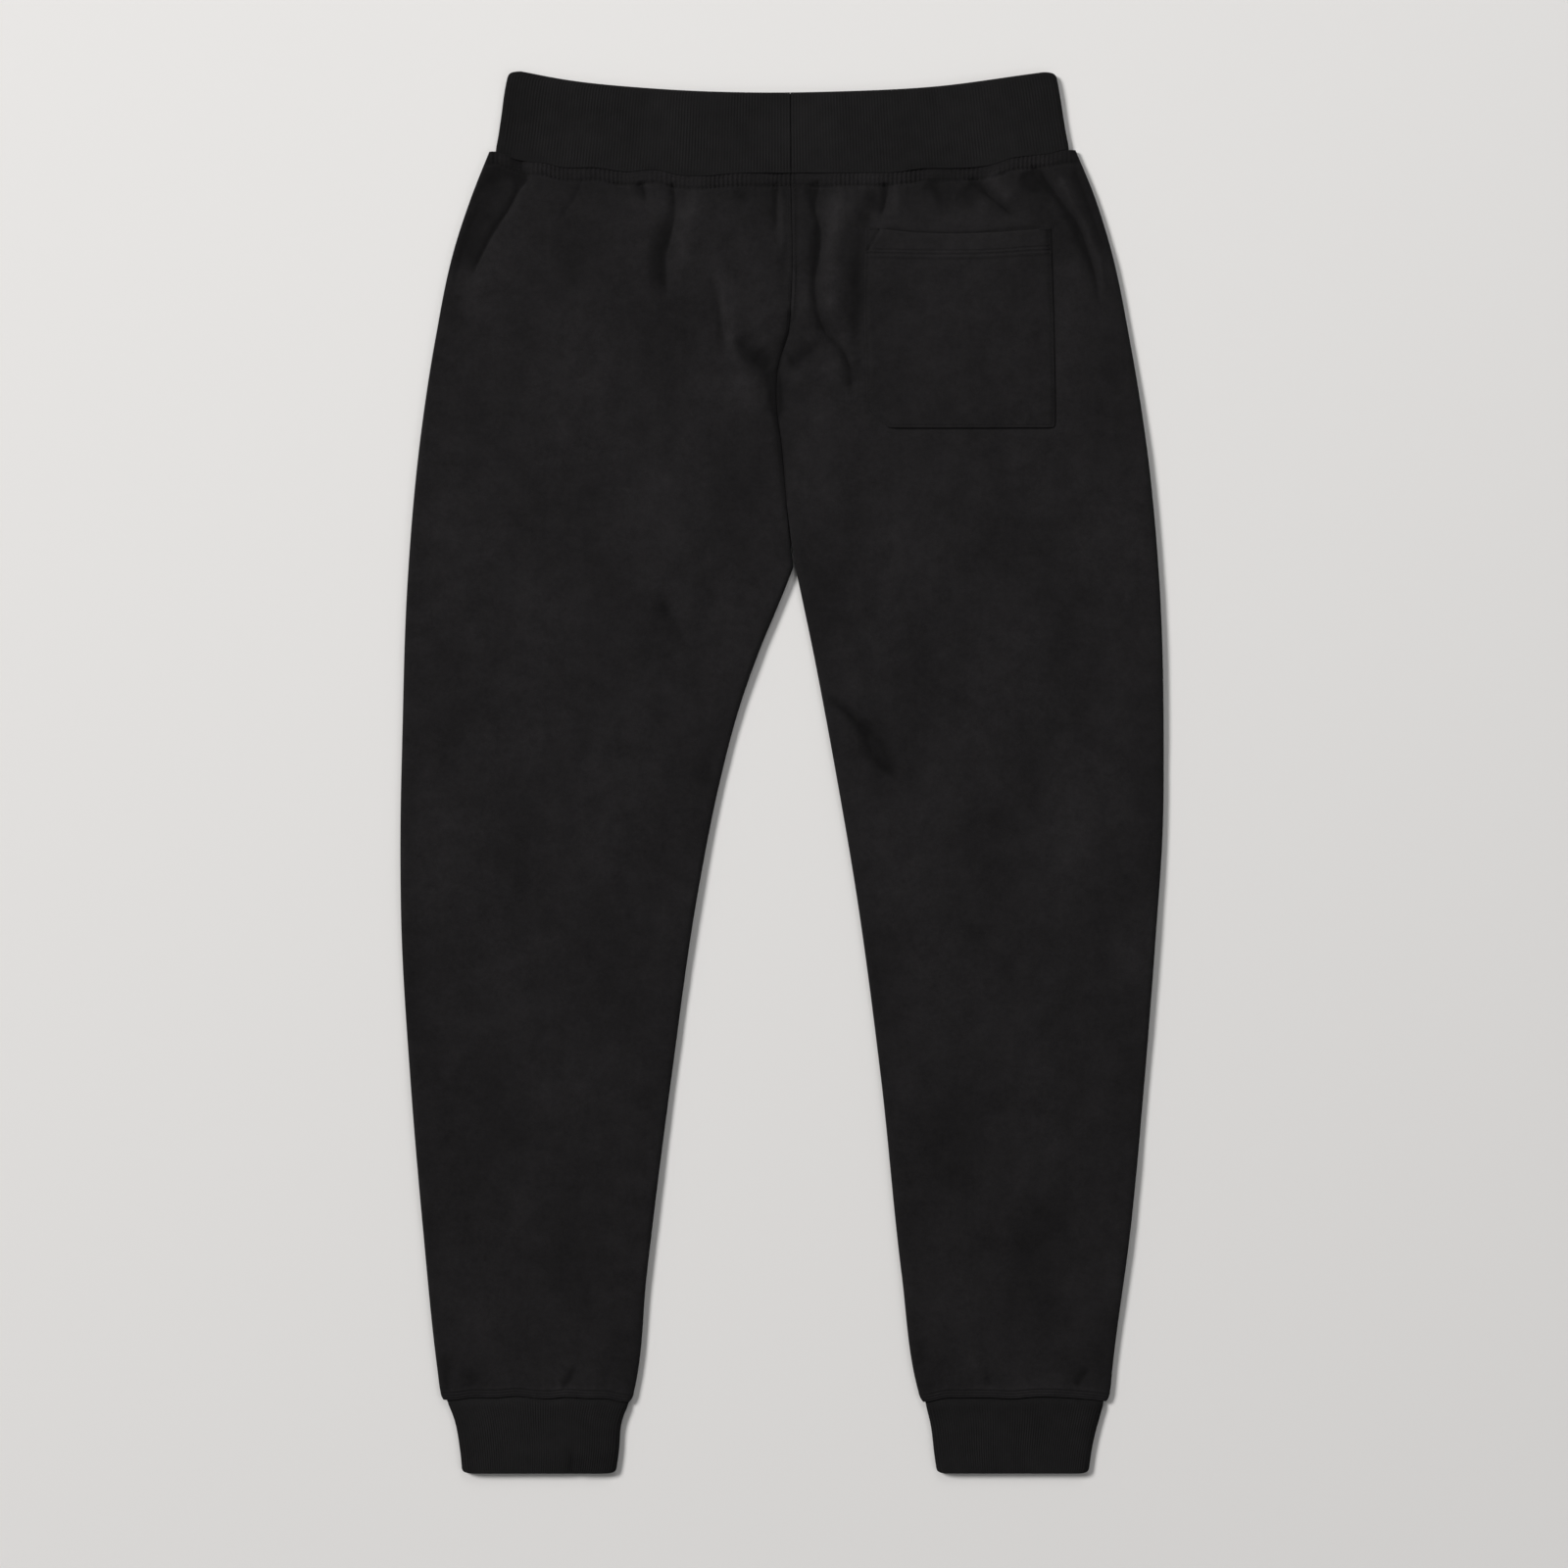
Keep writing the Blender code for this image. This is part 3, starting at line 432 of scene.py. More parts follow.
def leg_share(y):
    """1 where the inner edge is an inseam, falling to 0 where it is the flat centre seam."""
    return 1.0 - smooth_step((y - CROTCH_Y) / CROTCH_FLARE)


def front_seam(y):
    return centre_seam(y) + FRONT_SEAM_ASIDE * (1 - leg_share(y))


def inner_edge(side, y, seam=centre_seam):
    """Inseam below the crotch and centre seam above it, half a seam gap back."""
    edge = np.where(y < CROTCH_Y, inseam[side](y), seam(y))
    return edge + side * SEAM_GAP / 2


def side_of(x, y):
    return np.where(x < centre_seam(np.clip(y, CROTCH_Y, None)), LEFT, RIGHT)


def rounded_path(points):
    """Points close together along a smooth curve through the points of a path."""
    path = np.array(points, float)
    run = np.concatenate([[0.0], np.cumsum(np.hypot(*np.diff(path, axis=0).T))])
    spans = max(1, round(run[-1] / PATH_STEP)) if len(path) > 2 else 1
    at = np.linspace(0, run[-1], spans + 1)
    return np.column_stack([curve(run, path[:, 0])(at), curve(run, path[:, 1])(at)])


def fold_rise(fold, x, y):
    """Height that one fold adds at x, y."""
    path = rounded_path(fold.path)
    reach = FOLD_REACH * max(fold.west, fold.east)
    low, high = path.min(axis=0) - reach, path.max(axis=0) + reach
    x, y = np.broadcast_arrays(x, y)
    near = (x > low[0]) & (x < high[0]) & (y > low[1]) & (y < high[1])
    near_x, near_y = x[near], y[near]
    steps = np.diff(path, axis=0)
    lengths = np.hypot(steps[:, 0], steps[:, 1])
    before = np.concatenate([[0.0], np.cumsum(lengths)])
    nearest = np.full(near_x.shape, np.inf)
    along = np.zeros(near_x.shape)
    width = np.ones(near_x.shape)
    for start, step, length, run in zip(path, steps, lengths, before):
        from_x, from_y = near_x - start[0], near_y - start[1]
        t = np.clip((from_x * step[0] + from_y * step[1]) / length**2, 0, 1)
        distance = np.hypot(from_x - t * step[0], from_y - t * step[1])
        closer = distance < nearest
        nearest = np.where(closer, distance, nearest)
        along = np.where(closer, run + t * length, along)
        to_east = step[0] * from_y > step[1] * from_x
        width = np.where(closer, np.where(to_east, fold.east, fold.west), width)
    fade = smooth_step(along / fold.fade_in) * smooth_step((before[-1] - along) / fold.fade_out)
    width = width * (1 - FOLD_TAPER * (1 - fade)) * (1 + FOLD_WAVER * uneven(near_x, near_y, 19, seed=51))
    spread = np.hypot(nearest, CREASE_ROUND) - CREASE_ROUND
    crease = mix(np.exp(-spread / width), np.exp(-spread / CREASE_CORE), CREASE_CORE_SHARE)
    rise = np.zeros(x.shape)
    rise[near] = fold.rise * fade * mix(bell(nearest / width), crease, fold.sharp)
    return rise


def puckers(start, stop, spacing, depth, seed):
    """Short gathers that run away from a row of sewing."""
    draw = np.random.default_rng(seed)
    made = []
    x = start
    while x < stop:
        made.append((x, depth * draw.uniform(0.2, 1.0), draw.uniform(1.1, 2.2), draw.uniform(5.0, 17.0)))
        x += spacing * draw.uniform(0.5, 1.6)
    return table("x depth width length", *made)


WAIST_PUCKERS = puckers(*WAIST_SEWN, spacing=9.0, depth=0.42, seed=21)
ANKLE_PUCKERS = puckers(-256, 248, spacing=10.0, depth=0.34, seed=22)


def gathers(places, x, away):
    """Depth of the puckers at x, at a distance away from the sewing."""
    total = np.zeros(np.shape(x))
    for pucker in places:
        near = np.abs(x - pucker.x) < 4 * pucker.width
        reach = np.exp(-np.clip(away, 0, None) / pucker.length)
        total += np.where(near, pucker.depth * bell((x - pucker.x) / pucker.width) * reach, 0.0)
    return total * smooth_step(away / 2.0)


def bar_turn(x):
    """Phase of the coverstitched strip's cross threads; they stand at its troughs."""
    return TURN * x / BAR_PITCH + 1.1 * uneven(x, x * 0, 40, seed=12)


def sewing_depth(x, y, seam=centre_seam):
    """How far the rows of sewing at the waist, ankles and centre seam press into the cloth."""
    # Coverstitched strip: its cross threads, its two rows and the groove where it ends
    below = waist_seam(x) - y
    strip = smooth_step((below + 0.8) / 1.4) * smooth_step((COVER_DEPTH + 0.4 - below) / 1.2)
    strength = np.clip(0.7 + 0.5 * uneven(x, y * 0, 30, seed=11), 0.1, 1.3)
    depth = strip * (0.4 + strength * 0.55 * (0.5 + 0.5 * np.sin(bar_turn(x))))
    for row in COVER_ROWS:
        depth = depth + 0.4 * bell((below - row) / 0.6)
    pulled = np.clip(0.75 + 0.45 * uneven(x, y * 0, 24, seed=13), 0.2, 1.3)
    depth = depth + 0.8 * pulled * bell((below - COVER_END) / 1.1)
    depth = depth + gathers(WAIST_PUCKERS, x, below - COVER_DEPTH + 3)

    # Ankles: rows pressed into a hem that stands a little proud
    above = y - ankle_seam(x)
    for row in ANKLE_ROWS:
        depth = depth + 1.0 * bell((above - row) / 0.55)
    depth = depth - 0.4 * smooth_step(above / 1.2) * smooth_step((10.0 - above) / 3.2)
    depth = depth + gathers(ANKLE_PUCKERS, x, above - 6.0)

    # Centre seam: a row on each side, on the doubled cloth of the seam
    aside = np.abs(x - seam(y))
    sewn = smooth_step((y - CENTRE_ROWS_FROM) / 12.0)
    depth = depth + 0.3 * sewn * bell((aside - CENTRE_ROW) / 0.55)
    return depth - 0.2 * sewn * smooth_step((CENTRE_ROW + 2.0 - aside) / 2.0)


def sewn_zone(x, y):
    """1 along the front's rows of sewing, falling to 0 beside them."""
    at_waist = smooth_step((COVER_DEPTH + 3.5 - (waist_seam(x) - y)) / 2.5)
    at_ankle = smooth_step((ANKLE_ROWS[-1] + 4.5 - (y - ankle_seam(x))) / 2.5)
    at_centre = smooth_step((CENTRE_ROW + 4.0 - np.abs(x - front_seam(y))) / 2.5)
    at_centre = at_centre * smooth_step((y - CENTRE_ROWS_FROM + 6) / 6.0)
    return np.maximum(np.maximum(at_waist, at_ankle), at_centre)


def seam_drop(x, y, side, seam=centre_seam):
    """How far the cloth's edges turn down into the waist, ankle and centre seams."""
    drop = turned_down(waist_seam(x) - y, WAIST_RIM) + turned_down(y - ankle_seam(x), ANKLE_RIM)
    to_inner = np.abs(inner_edge(side, y, seam) - x)
    return drop + (1 - leg_share(y)) * turned_down(to_inner, CENTRE_RIM)


def pressed_flat(x, y):
    """Least height of the back's top, where it is pressed on to the front."""
    return 2 * FLEECE + SEAM_GAP + FRONT_SEWN_LIFT * sewn_zone(x, y)


def back_face(side, x, y):
    """Top of a back panel without its sewing."""
    height = np.full(np.shape(x), LAID_HEIGHT)
    for swell in SWELLS:
        phase = TURN * (x / swell.length_x + y / swell.length_y) + swell.start
        height = height + swell.height * np.sin(phase)
    for fold in FOLDS:
        height = height + fold_rise(fold, x, y)
    height = height + 0.18 * uneven(x, y, 34, seed=31) + 0.035 * uneven(x, y, 11, seed=32)
    to_side = np.abs(side_edge[side](y) - x)
    to_inner = np.abs(inner_edge(side, y) - x)
    shoulder = 1 - smooth_step(to_side / SHOULDER)
    shoulder = shoulder + leg_share(y) * (1 - smooth_step(to_inner / SHOULDER))
    height = height - mix(LEG_DROP, HIP_DROP, smooth_step((y - HIP_FROM) / HIP_EASE)) * shoulder
    height = height - WAIST_DROP * bell((waist_seam(x) - y - WAIST_DIP) / WAIST_DIP_WIDTH)
    height = height - CALF_DROP * smooth_step((CALF_FROM - y) / CALF_EASE)
    turned = np.maximum(
        1 - smooth_step(to_side / (2 * EDGE_ROUND)),
        leg_share(y) * (1 - smooth_step(to_inner / (2 * EDGE_ROUND))),
    )
    lowest_turned = EDGE_HEIGHT + FLEECE + SEAM_GAP
    return np.maximum(height, mix(pressed_flat(x, y), lowest_turned, turned))


def back_top(side, x, y):
    """Top of a back panel, with its sewing."""
    return back_face(side, x, y) - sewing_depth(x, y)


def back_at(x, y):
    """Top of whichever back panel lies at x, y."""
    return np.where(side_of(x, y) == LEFT, back_top(LEFT, x, y), back_top(RIGHT, x, y))


def front_rise(x, y):
    """How far the front is lifted off the surface by its folds, under the back's hollows less."""
    lift = np.zeros(np.shape(x))
    for fold in FRONT_FOLDS:
        lift = lift + fold_rise(fold, x, y)
    above = np.where(side_of(x, y) == LEFT, back_face(LEFT, x, y), back_face(RIGHT, x, y))
    room = np.maximum(above - pressed_flat(x, y), 0)
    return np.minimum(lift, room) + FRONT_SEWN_LIFT * sewn_zone(x, y)


def front_sewing(x, y):
    return np.clip(sewing_depth(x, y, front_seam), 0, None)


def front_at(x, y):
    """Height of the front's face, with its sewing."""
    return front_rise(x, y) + front_sewing(x, y)


# Leg panels

LEVEL_ROUNDS = 6  # rounds that settle the rows on the curves of the seams
FEWEST_INNER, OUTER_TO_INNER = 24, 6  # least points in an inner row, and outer points to each of them
SHARP_ANGLE = math.radians(75)


def panel_surface(side, is_back, is_outer, levels, columns):
    """Places across a panel and the points of its rows, from its side to its inner edge."""
    steps = np.linspace(0, 1, columns)
    turns = len(TURN_ANGLES)
    zeros = np.zeros(turns)
    turn = np.concatenate([TURN_ANGLES, np.zeros(columns), TURN_ANGLES[::-1]])
    across = np.concatenate([zeros, steps, zeros + 1])
    at_side = np.concatenate([zeros + 1, steps < 0.5, zeros]) > 0
    order = np.concatenate([np.arange(-turns, 0) / turns, steps, 1 + np.arange(1, turns + 1) / turns])

    seam = centre_seam if is_back else front_seam
    level = np.asarray(levels, float)[:, None]
    y = level + np.zeros(len(across))
    for _ in range(LEVEL_ROUNDS):
        share = np.where(at_side, 1.0, leg_share(y))
        reach = EDGE_ROUND * share
        bend_side = side_edge[side](y) - side * EDGE_ROUND
        bend_inner = inner_edge(side, y, seam) + side * EDGE_ROUND * leg_share(y)
        bend = mix(bend_side, bend_inner, across)
        outwards = np.where(at_side, side, -side)
        x_outer = bend + outwards * reach * np.sin(turn)
        waist_shift = waist_seam(x_outer) - WAIST_GAP / 2 - WAIST_Y
        ankle_shift = ankle_seam(x_outer) + ANKLE_GAP / 2 - ANKLE_Y
        waist_share = smooth_step(1 - (WAIST_Y - level) / WAIST_REACH)
        ankle_share = smooth_step(1 - (level - ANKLE_Y) / ANKLE_REACH)
        y = level + waist_shift * waist_share + ankle_shift * ankle_share

    if is_back:
        face = back_face(side, x_outer, y)
        sewn = EDGE_HEIGHT + SEAM_GAP / 2
        inside = face - FLEECE
        face = face - sewing_depth(x_outer, y) - seam_drop(x_outer, y, side)
    else:
        inside = front_rise(x_outer, y) + FLEECE
        sewn = EDGE_HEIGHT - SEAM_GAP / 2
        face = inside - FLEECE + front_sewing(x_outer, y)
        face = face + seam_drop(x_outer, y, side, front_seam)
    x, near = x_outer, face
    if not is_outer:
        x = bend + outwards * np.clip(reach - FLEECE * share, 0, None) * np.sin(turn)
        near = inside
    z = mix(mix(near, sewn, share), near, np.cos(turn))
    if is_outer:
        # The very edge is drawn in where it is sewn to the other panel.
        x = x - outwards * EDGE_DRAW * share * np.clip(np.sin(turn) * 6 - 5, 0, 1)
    return order, np.stack([x, y, np.broadcast_to(z, y.shape)], axis=-1)


def stitch(first, first_order, second, second_order):
    """Faces between two rows of vertex numbers, each with its ascending places."""
    if len(first) == len(second):
        return list(zip(first, first[1:], second[1:], second))
    faces = []
    i = j = 0
    while i < len(first) - 1 or j < len(second) - 1:
        first_ended = i == len(first) - 1
        second_ended = j == len(second) - 1
        if second_ended or (not first_ended and first_order[i + 1] <= second_order[j + 1]):
            faces.append((first[i], first[i + 1], second[j]))
            i += 1
        else:
            faces.append((first[i], second[j + 1], second[j]))
            j += 1
    return faces


def mesh_piece(name, points, faces, material):
    """Object from points in millimetres and faces, shown with the body."""
    mesh = bpy.data.meshes.new(name)
    mesh.from_pydata((np.asarray(points) * MM).tolist(), [], faces)
    work = bmesh.new()
    work.from_mesh(mesh)
    bmesh.ops.recalc_face_normals(work, faces=work.faces)
    work.to_mesh(mesh)
    work.free()
    mesh.shade_smooth()
    mesh.set_sharp_from_angle(angle=SHARP_ANGLE)
    mesh.materials.append(material)
    piece = bpy.data.objects.new(name, mesh)
    bpy.context.scene.collection.objects.link(piece)
    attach(piece, "root")
    return piece


def wall(name, rows, material):
    """Closed cloth from rows of (outer order, outer points, inner order, inner points)."""
    points = []
    numbered = []
    count = 0
    for outer_order, outer, inner_order, inner in rows:
        middle = count + len(outer)
        end = middle + len(inner)
        numbered.append((list(range(count, middle)), outer_order, list(range(middle, end)), inner_order))
        points += [outer, inner]
        count = end
    faces = []
    for low, high in zip(numbered, numbered[1:]):
        faces += stitch(*low[:2], *high[:2])
        faces += stitch(*low[2:], *high[2:])
        for end in (0, -1):
            faces.append((low[0][end], low[2][end], high[2][end], high[0][end]))
    for row in (numbered[0], numbered[-1]):
        faces += stitch(*row)
    return mesh_piece(name, np.concatenate(points), faces, material)


def keep_apart(outer_order, outer, inner_order, inner, is_back):
    """Move the coarser inner face of a wall clear of the creases in its outer face."""
    sign = 1 if is_back else -1
    for number, place in enumerate(inner_order):
        before = inner_order[max(number - 1, 0)]
        after = inner_order[min(number + 1, len(inner_order) - 1)]
        beside = (outer_order >= before) & (outer_order <= after)
        if 0 < place < 1 and beside.any():
            limit = (sign * outer[:, beside, 2]).min(axis=1) - THINNEST
            inner[:, number, 2] = sign * np.minimum(sign * inner[:, number, 2], limit)


def panel(name, side, is_back, bands, material):
    """One leg panel, from the ankle seam to the waist seam."""
    groups = [(ANKLE_Y + np.array(END_STEPS), bands[0].columns)]
    for band in bands:
        count = round((band.stop - band.start) / band.spacing)
        groups.append((np.linspace(band.start, band.stop, count, endpoint=False), band.columns))
    groups.append((WAIST_Y - np.array(END_STEPS[::-1]), bands[-1].columns))
    rows = []
    for levels, columns in groups:
        outer_order, outer = panel_surface(side, is_back, True, levels, columns)
        fewer = max(FEWEST_INNER, columns // OUTER_TO_INNER)
        inner_order, inner = panel_surface(side, is_back, False, levels, fewer)
        keep_apart(outer_order, outer, inner_order, inner, is_back)
        rows += [(outer_order, above, inner_order, below) for above, below in zip(outer, inner)]
    return wall(name, rows, material)


# Flattened loops of rib knit

TURN_SPANS, INNER_TURN_SPANS = 20, 4  # spans round a quarter of a fold
RIB_SPANS = 6  # spans across a rib
SEAM_STEPS = (0, 0.4, 0.9, 1.6, 2.6, 4.0, 6.0)  # rows of points from the seam on
FREE_STEPS = (4.6, 3.2, 2.2)  # rows before the free edge
LOOP_ROW = 4.4  # from row to row between them
FREE_TURNS = np.radians((0, 20, 40, 58, 74, 90))  # rows round the free edge
SEAM_EASE = 8.0  # how far from the seam a loop has its full height
PUFF = 0.14  # unevenness of its top


def band_seam(x):
    return waist_seam(x) + WAIST_GAP / 2


def cuff_seam(x):
    return ankle_seam(x) - ANKLE_GAP / 2


def cuff_end(x):
    return np.full(np.shape(x), CUFF_END_Y)


def across_loop(sides, x):
    """Place of x along the top of a loop at its seam, from 0 at its right to 1 at its left."""
    seam = sides[0]
    return float((seam.right - LOOP_ROUND - x) / (seam.right - seam.left - 2 * LOOP_ROUND))


# start is the place of a loop's closing seam: the centre back, or a cuff's inseam.
LOOPS = table(
    "node flat area sides seam_edge free_edge height start rib_pitch rib_depth corner tuck sink seed",
    ("waistband", BAND_FLAT, BAND_AREA, BAND_SIDES, band_seam, band_top, 8.6,
     across_loop(BAND_SIDES, centre_seam(WAIST_Y)), 2.3, 0.46, 4.5, 0.3, 0.15, 41),
    ("cuff_left", CUFF_FLAT, CUFF_AREA, LEFT_CUFF_SIDES, cuff_seam, cuff_end, 8.8,
     3.5, 2.0, 0.48, 3.5, 4.2, -0.5, 43),
    ("cuff_right", CUFF_FLAT, CUFF_AREA, RIGHT_CUFF_SIDES, cuff_seam, cuff_end, 8.4,
     1.5, 2.0, 0.48, 3.5, 4.2, -0.5, 45)
)


def loop_places(start, top_spans, turn_spans, under_spans):
    """Places once round a flattened loop.

    A place runs 0 to 1 along the top from right to left, 1 to 2 round the left fold, 2 to 3
    along the underside and 3 to 4 round the right fold.
    """
    top = np.linspace(0, 1, top_spans + 1)
    turn = np.linspace(0, 1, 2 * turn_spans + 1)
    under = np.linspace(0, 1, under_spans + 1)
    once = np.unique(np.round(np.concatenate([top, 1 + turn, 2 + under, 3 + turn]), 7))[:-1]
    margin = 0.3 / top_spans
    inside = np.concatenate([once, once + 4])
    inside = inside[(inside > start + margin) & (inside < start + 4 - margin)]
    return np.concatenate([[start], inside, [start + 4]])


def loop_section(places, left, right, height, out):
    """x, z and run of points round a flattened loop; out is how far they stand out of it."""
    place = np.mod(places, 4.0)
    on_left = (place > 1) & (place < 2)
    on_right = place > 3
    turn = np.where(on_right, place - 3, np.clip(place - 1, 0, 1)) * math.pi
    angle = np.where(on_right, math.pi - turn, turn)
    angle = np.where(place <= 1, 0.0, angle)
    outwards = np.where(on_left, -np.sin(angle), np.where(on_right, np.sin(angle), 0.0))
    run = np.where(place <= 1, 1 - place, np.where(place <= 2, 0.0, np.clip(place - 2, 0, 1)))
    run = np.where(on_right, 1.0, run)
    x = mix(left + LOOP_ROUND, right - LOOP_ROUND, run) + outwards * (LOOP_ROUND + out)
    z = height / 2 + (height / 2 + out) * np.cos(angle)
    return x, z, run


def knit_loop(loop, material):
    """Rib-knit loop with its free edge folded and its seam edge tucked under the legs' hems."""
    left_side = column(loop.sides, "left")
    right_side = column(loop.sides, "right")
    width = loop.sides[0].right - loop.sides[0].left - 2 * LOOP_ROUND
    ribs = round(width / loop.rib_pitch)
    outer_places = loop_places(loop.start, RIB_SPANS * ribs, TURN_SPANS, RIB_SPANS * ribs)
    inner_places = loop_places(loop.start, ribs, INNER_TURN_SPANS, ribs)
    length = abs(float(loop.free_edge(np.zeros(1))[0] - loop.seam_edge(np.zeros(1))[0]))
    radius = RIB_KNIT / 2
    closing = SEAM_GAP / 2 / width

    mids = np.concatenate([SEAM_STEPS, np.arange(9.0, length - 6, LOOP_ROW), length - np.array(FREE_STEPS)])
    stations = [(mid, 0.0) for mid in mids]
    stations += [(length - radius + radius * math.sin(a), radius * (1 - math.cos(a))) for a in FREE_TURNS]

    rows = []
    for along, inset in stations:
        level = along / length
        corner_in = turned_down(length - along, loop.corner)
        left = left_side(level) + corner_in
        right = right_side(level) - corner_in
        off_seam = smooth_step(along / SEAM_EASE)
        row = []
        for is_outer, places in ((True, outer_places), (False, inner_places)):
            shifted = places.copy()
            shifted[0] += closing
            shifted[-1] -= closing
            depth = inset if is_outer else RIB_KNIT - inset
            relief = 0.0
            if is_outer:
                wave = 0.5 - 0.5 * np.cos(np.arange(len(places)) * TURN / RIB_SPANS)
                fade = smooth_step(along / 5.0) * 0.65 + 0.35
                fade = fade * (1 - 0.6 * inset / radius)
                strength = 0.8 + 0.3 * uneven(places * width, along * 2, 70, seed=loop.seed)
                strength = np.clip(strength, 0.3, 1.2)
                place = np.mod(places, 4.0)
                under = (place >= 2) & (place <= 3)
                relief = loop.rib_depth * fade * strength * (wave - np.where(under, 1.0, 0.0))
            x, z, run = loop_section(shifted, left, right, loop.height, relief - depth)
            tuck = turned_down(along, loop.tuck) * 0.9 + loop.sink * (1 - off_seam)
            upper = z > loop.height / 2
            puff = PUFF * uneven(x, np.full(len(x), along), 60, seed=loop.seed + 1)
            puff = puff * off_seam * smooth_step((length - along) / 10.0)
            z = z + np.where(upper, puff - tuck, 0.0)
            z = np.maximum(z, 0.0) if is_outer else np.where(upper, np.maximum(z, loop.height / 2 + 0.1), z)
            seam_x = loop_section(shifted, left_side(0.0), right_side(0.0), loop.height, -depth)[0]
            free_x = mix(left_side(1.0), right_side(1.0), run)
            y = mix(loop.seam_edge(seam_x), loop.free_edge(free_x), level)
            share = np.clip(2 * z / loop.height - 1, 0, 1)
            for fold in LOOP_FOLDS:
                z = z + share * fold_rise(fold, x, y)
            row += [places, np.column_stack([x, y, z])]
        rows.append(row)
    return wall("knit_" + loop.node, rows, material)


def pocket(material):
    """Patch pocket with a doubled hem, lying on the right back panel."""
    heights = [row.y for row in POCKET_SIDES]
    bottom, mouth = heights[0], heights[-1]
    rim = np.array(RIM_STEPS)
    levels = np.concatenate([bottom + rim, np.linspace(bottom + RIM_WIDTH, mouth - 30, 66),
                             np.linspace(mouth - 29, mouth - 4, 38), mouth - rim[::-1]])
    inner = np.linspace(0, 1, 90)
    corner_foot = HEM_CORNER[1]
    slant = np.array(HEM_CORNER[0]) - np.array(corner_foot)
    slant = slant / np.hypot(*slant)
    rows = []
    for level in levels:
        left = np.interp(level, heights, [row.left for row in POCKET_SIDES])
        right = np.interp(level, heights, [row.right for row in POCKET_SIDES])
        x = np.concatenate([left + rim, mix(left + RIM_WIDTH, right - RIM_WIDTH, inner), right - rim[::-1]])
        middle = (x - left) / (right - left)
        sag = POCKET_SAG * 4 * middle * (1 - middle) * smooth_step((level - bottom) / (mouth - bottom))
        y = level - sag
        under = back_top(RIGHT, x, y) + POCKET_LIFT
        from_side = np.minimum(x - left, right - x)
        from_sewn = np.minimum(from_side, level - bottom)
        from_edge = np.minimum(from_sewn, mouth - level)
        above_row = y - hem_stitch(x)

        # Thinner where it is sewn down
        at_foot = mix(POCKET_FOOT_EDGE, POCKET_WALL, smooth_step((level - bottom) / POCKET_FOOT_EASE))
        hemmed = smooth_step((above_row + HEM_ROW_GAP) / 2.0)
        edge = mix(POCKET_LEFT_EDGE, mix(POCKET_RIGHT_EDGE, POCKET_HEM_EDGE, hemmed), middle)
        thick = np.minimum(at_foot, mix(edge, POCKET_WALL, smooth_step(from_side / POCKET_SIDE_EASE)))
        thick = thick - turned_down(from_edge, POCKET_RIM)
        thick = thick - 0.2 * bell((from_sewn - 2.0) / 0.45)

        # The doubled hem, with its slanting end and its two rows
        aslant = (x - corner_foot[0]) * slant[1] - (y - corner_foot[1]) * slant[0]
        in_hem = smooth_step((above_row + HEM_ROW_GAP + 1.8) / 0.8)
        corner = smooth_step((above_row + 1.0) / 2.0)
        in_hem = in_hem * mix(1.0, smooth_step(aslant / 0.9), corner)
        in_hem = in_hem * smooth_step(from_side / 6.0)
        thick = thick + HEM_RISE * in_hem - 1.1 * corner * bell((aslant + 1.0) / 0.8)
        for gap in (-HEM_ROW_GAP / 2, HEM_ROW_GAP / 2):
            thick = thick - 0.7 * bell((above_row + gap) / 0.6)
        top = under + np.maximum(thick, POCKET_THINNEST)
        rows.append((middle, np.column_stack([x, y, top]), middle, np.column_stack([x, y, under])))
    return wall("patch_pocket", rows, material)


# Threads

THREAD = 0.24  # radius of a stitch
STITCH_RINGS = 5
STITCH_SIDES = 6


def stitches(name, rows, length, material):
    """Short threads that dive into the cloth at both ends, from rows of (centres, directions)."""
    centres = np.concatenate([row[0] for row in rows])
    directions = np.concatenate([row[1] for row in rows])
    directions = directions / np.linalg.norm(directions, axis=1, keepdims=True)
    up = np.array([0.0, 0.0, 1.0]) * np.sign(centres[:, 2:] - EDGE_HEIGHT)
    aside = np.cross(directions, up)
    aside = aside / np.linalg.norm(aside, axis=1, keepdims=True)
    count = len(centres)
    centres, directions, up, aside = (each[:, None, None, :] for each in (centres, directions, up, aside))
    along = np.linspace(-1, 1, STITCH_RINGS)[None, :, None, None]
    around = (np.arange(STITCH_SIDES) * TURN / STITCH_SIDES)[None, None, :, None]
    thick = THREAD * np.sqrt(1 - 0.88 * along**4)
    points = (centres + directions * (along * length / 2) + up * (THREAD * (0.55 - 1.5 * along**4))
              + aside * (thick * np.cos(around)) + up * (thick * np.sin(around)))
    faces = []
    each = STITCH_RINGS * STITCH_SIDES
    for base in range(0, count * each, each):
        for ring in range(STITCH_RINGS - 1):
            for k in range(STITCH_SIDES):
                after = (k + 1) % STITCH_SIDES
                a = base + ring * STITCH_SIDES
                faces.append((a + k, a + after, a + after + STITCH_SIDES, a + k + STITCH_SIDES))
        faces.append(tuple(range(base, base + STITCH_SIDES)))
        faces.append(tuple(range(base + each - 1, base + each - STITCH_SIDES - 1, -1)))
    return mesh_piece(name, points.reshape(-1, 3), faces, material)


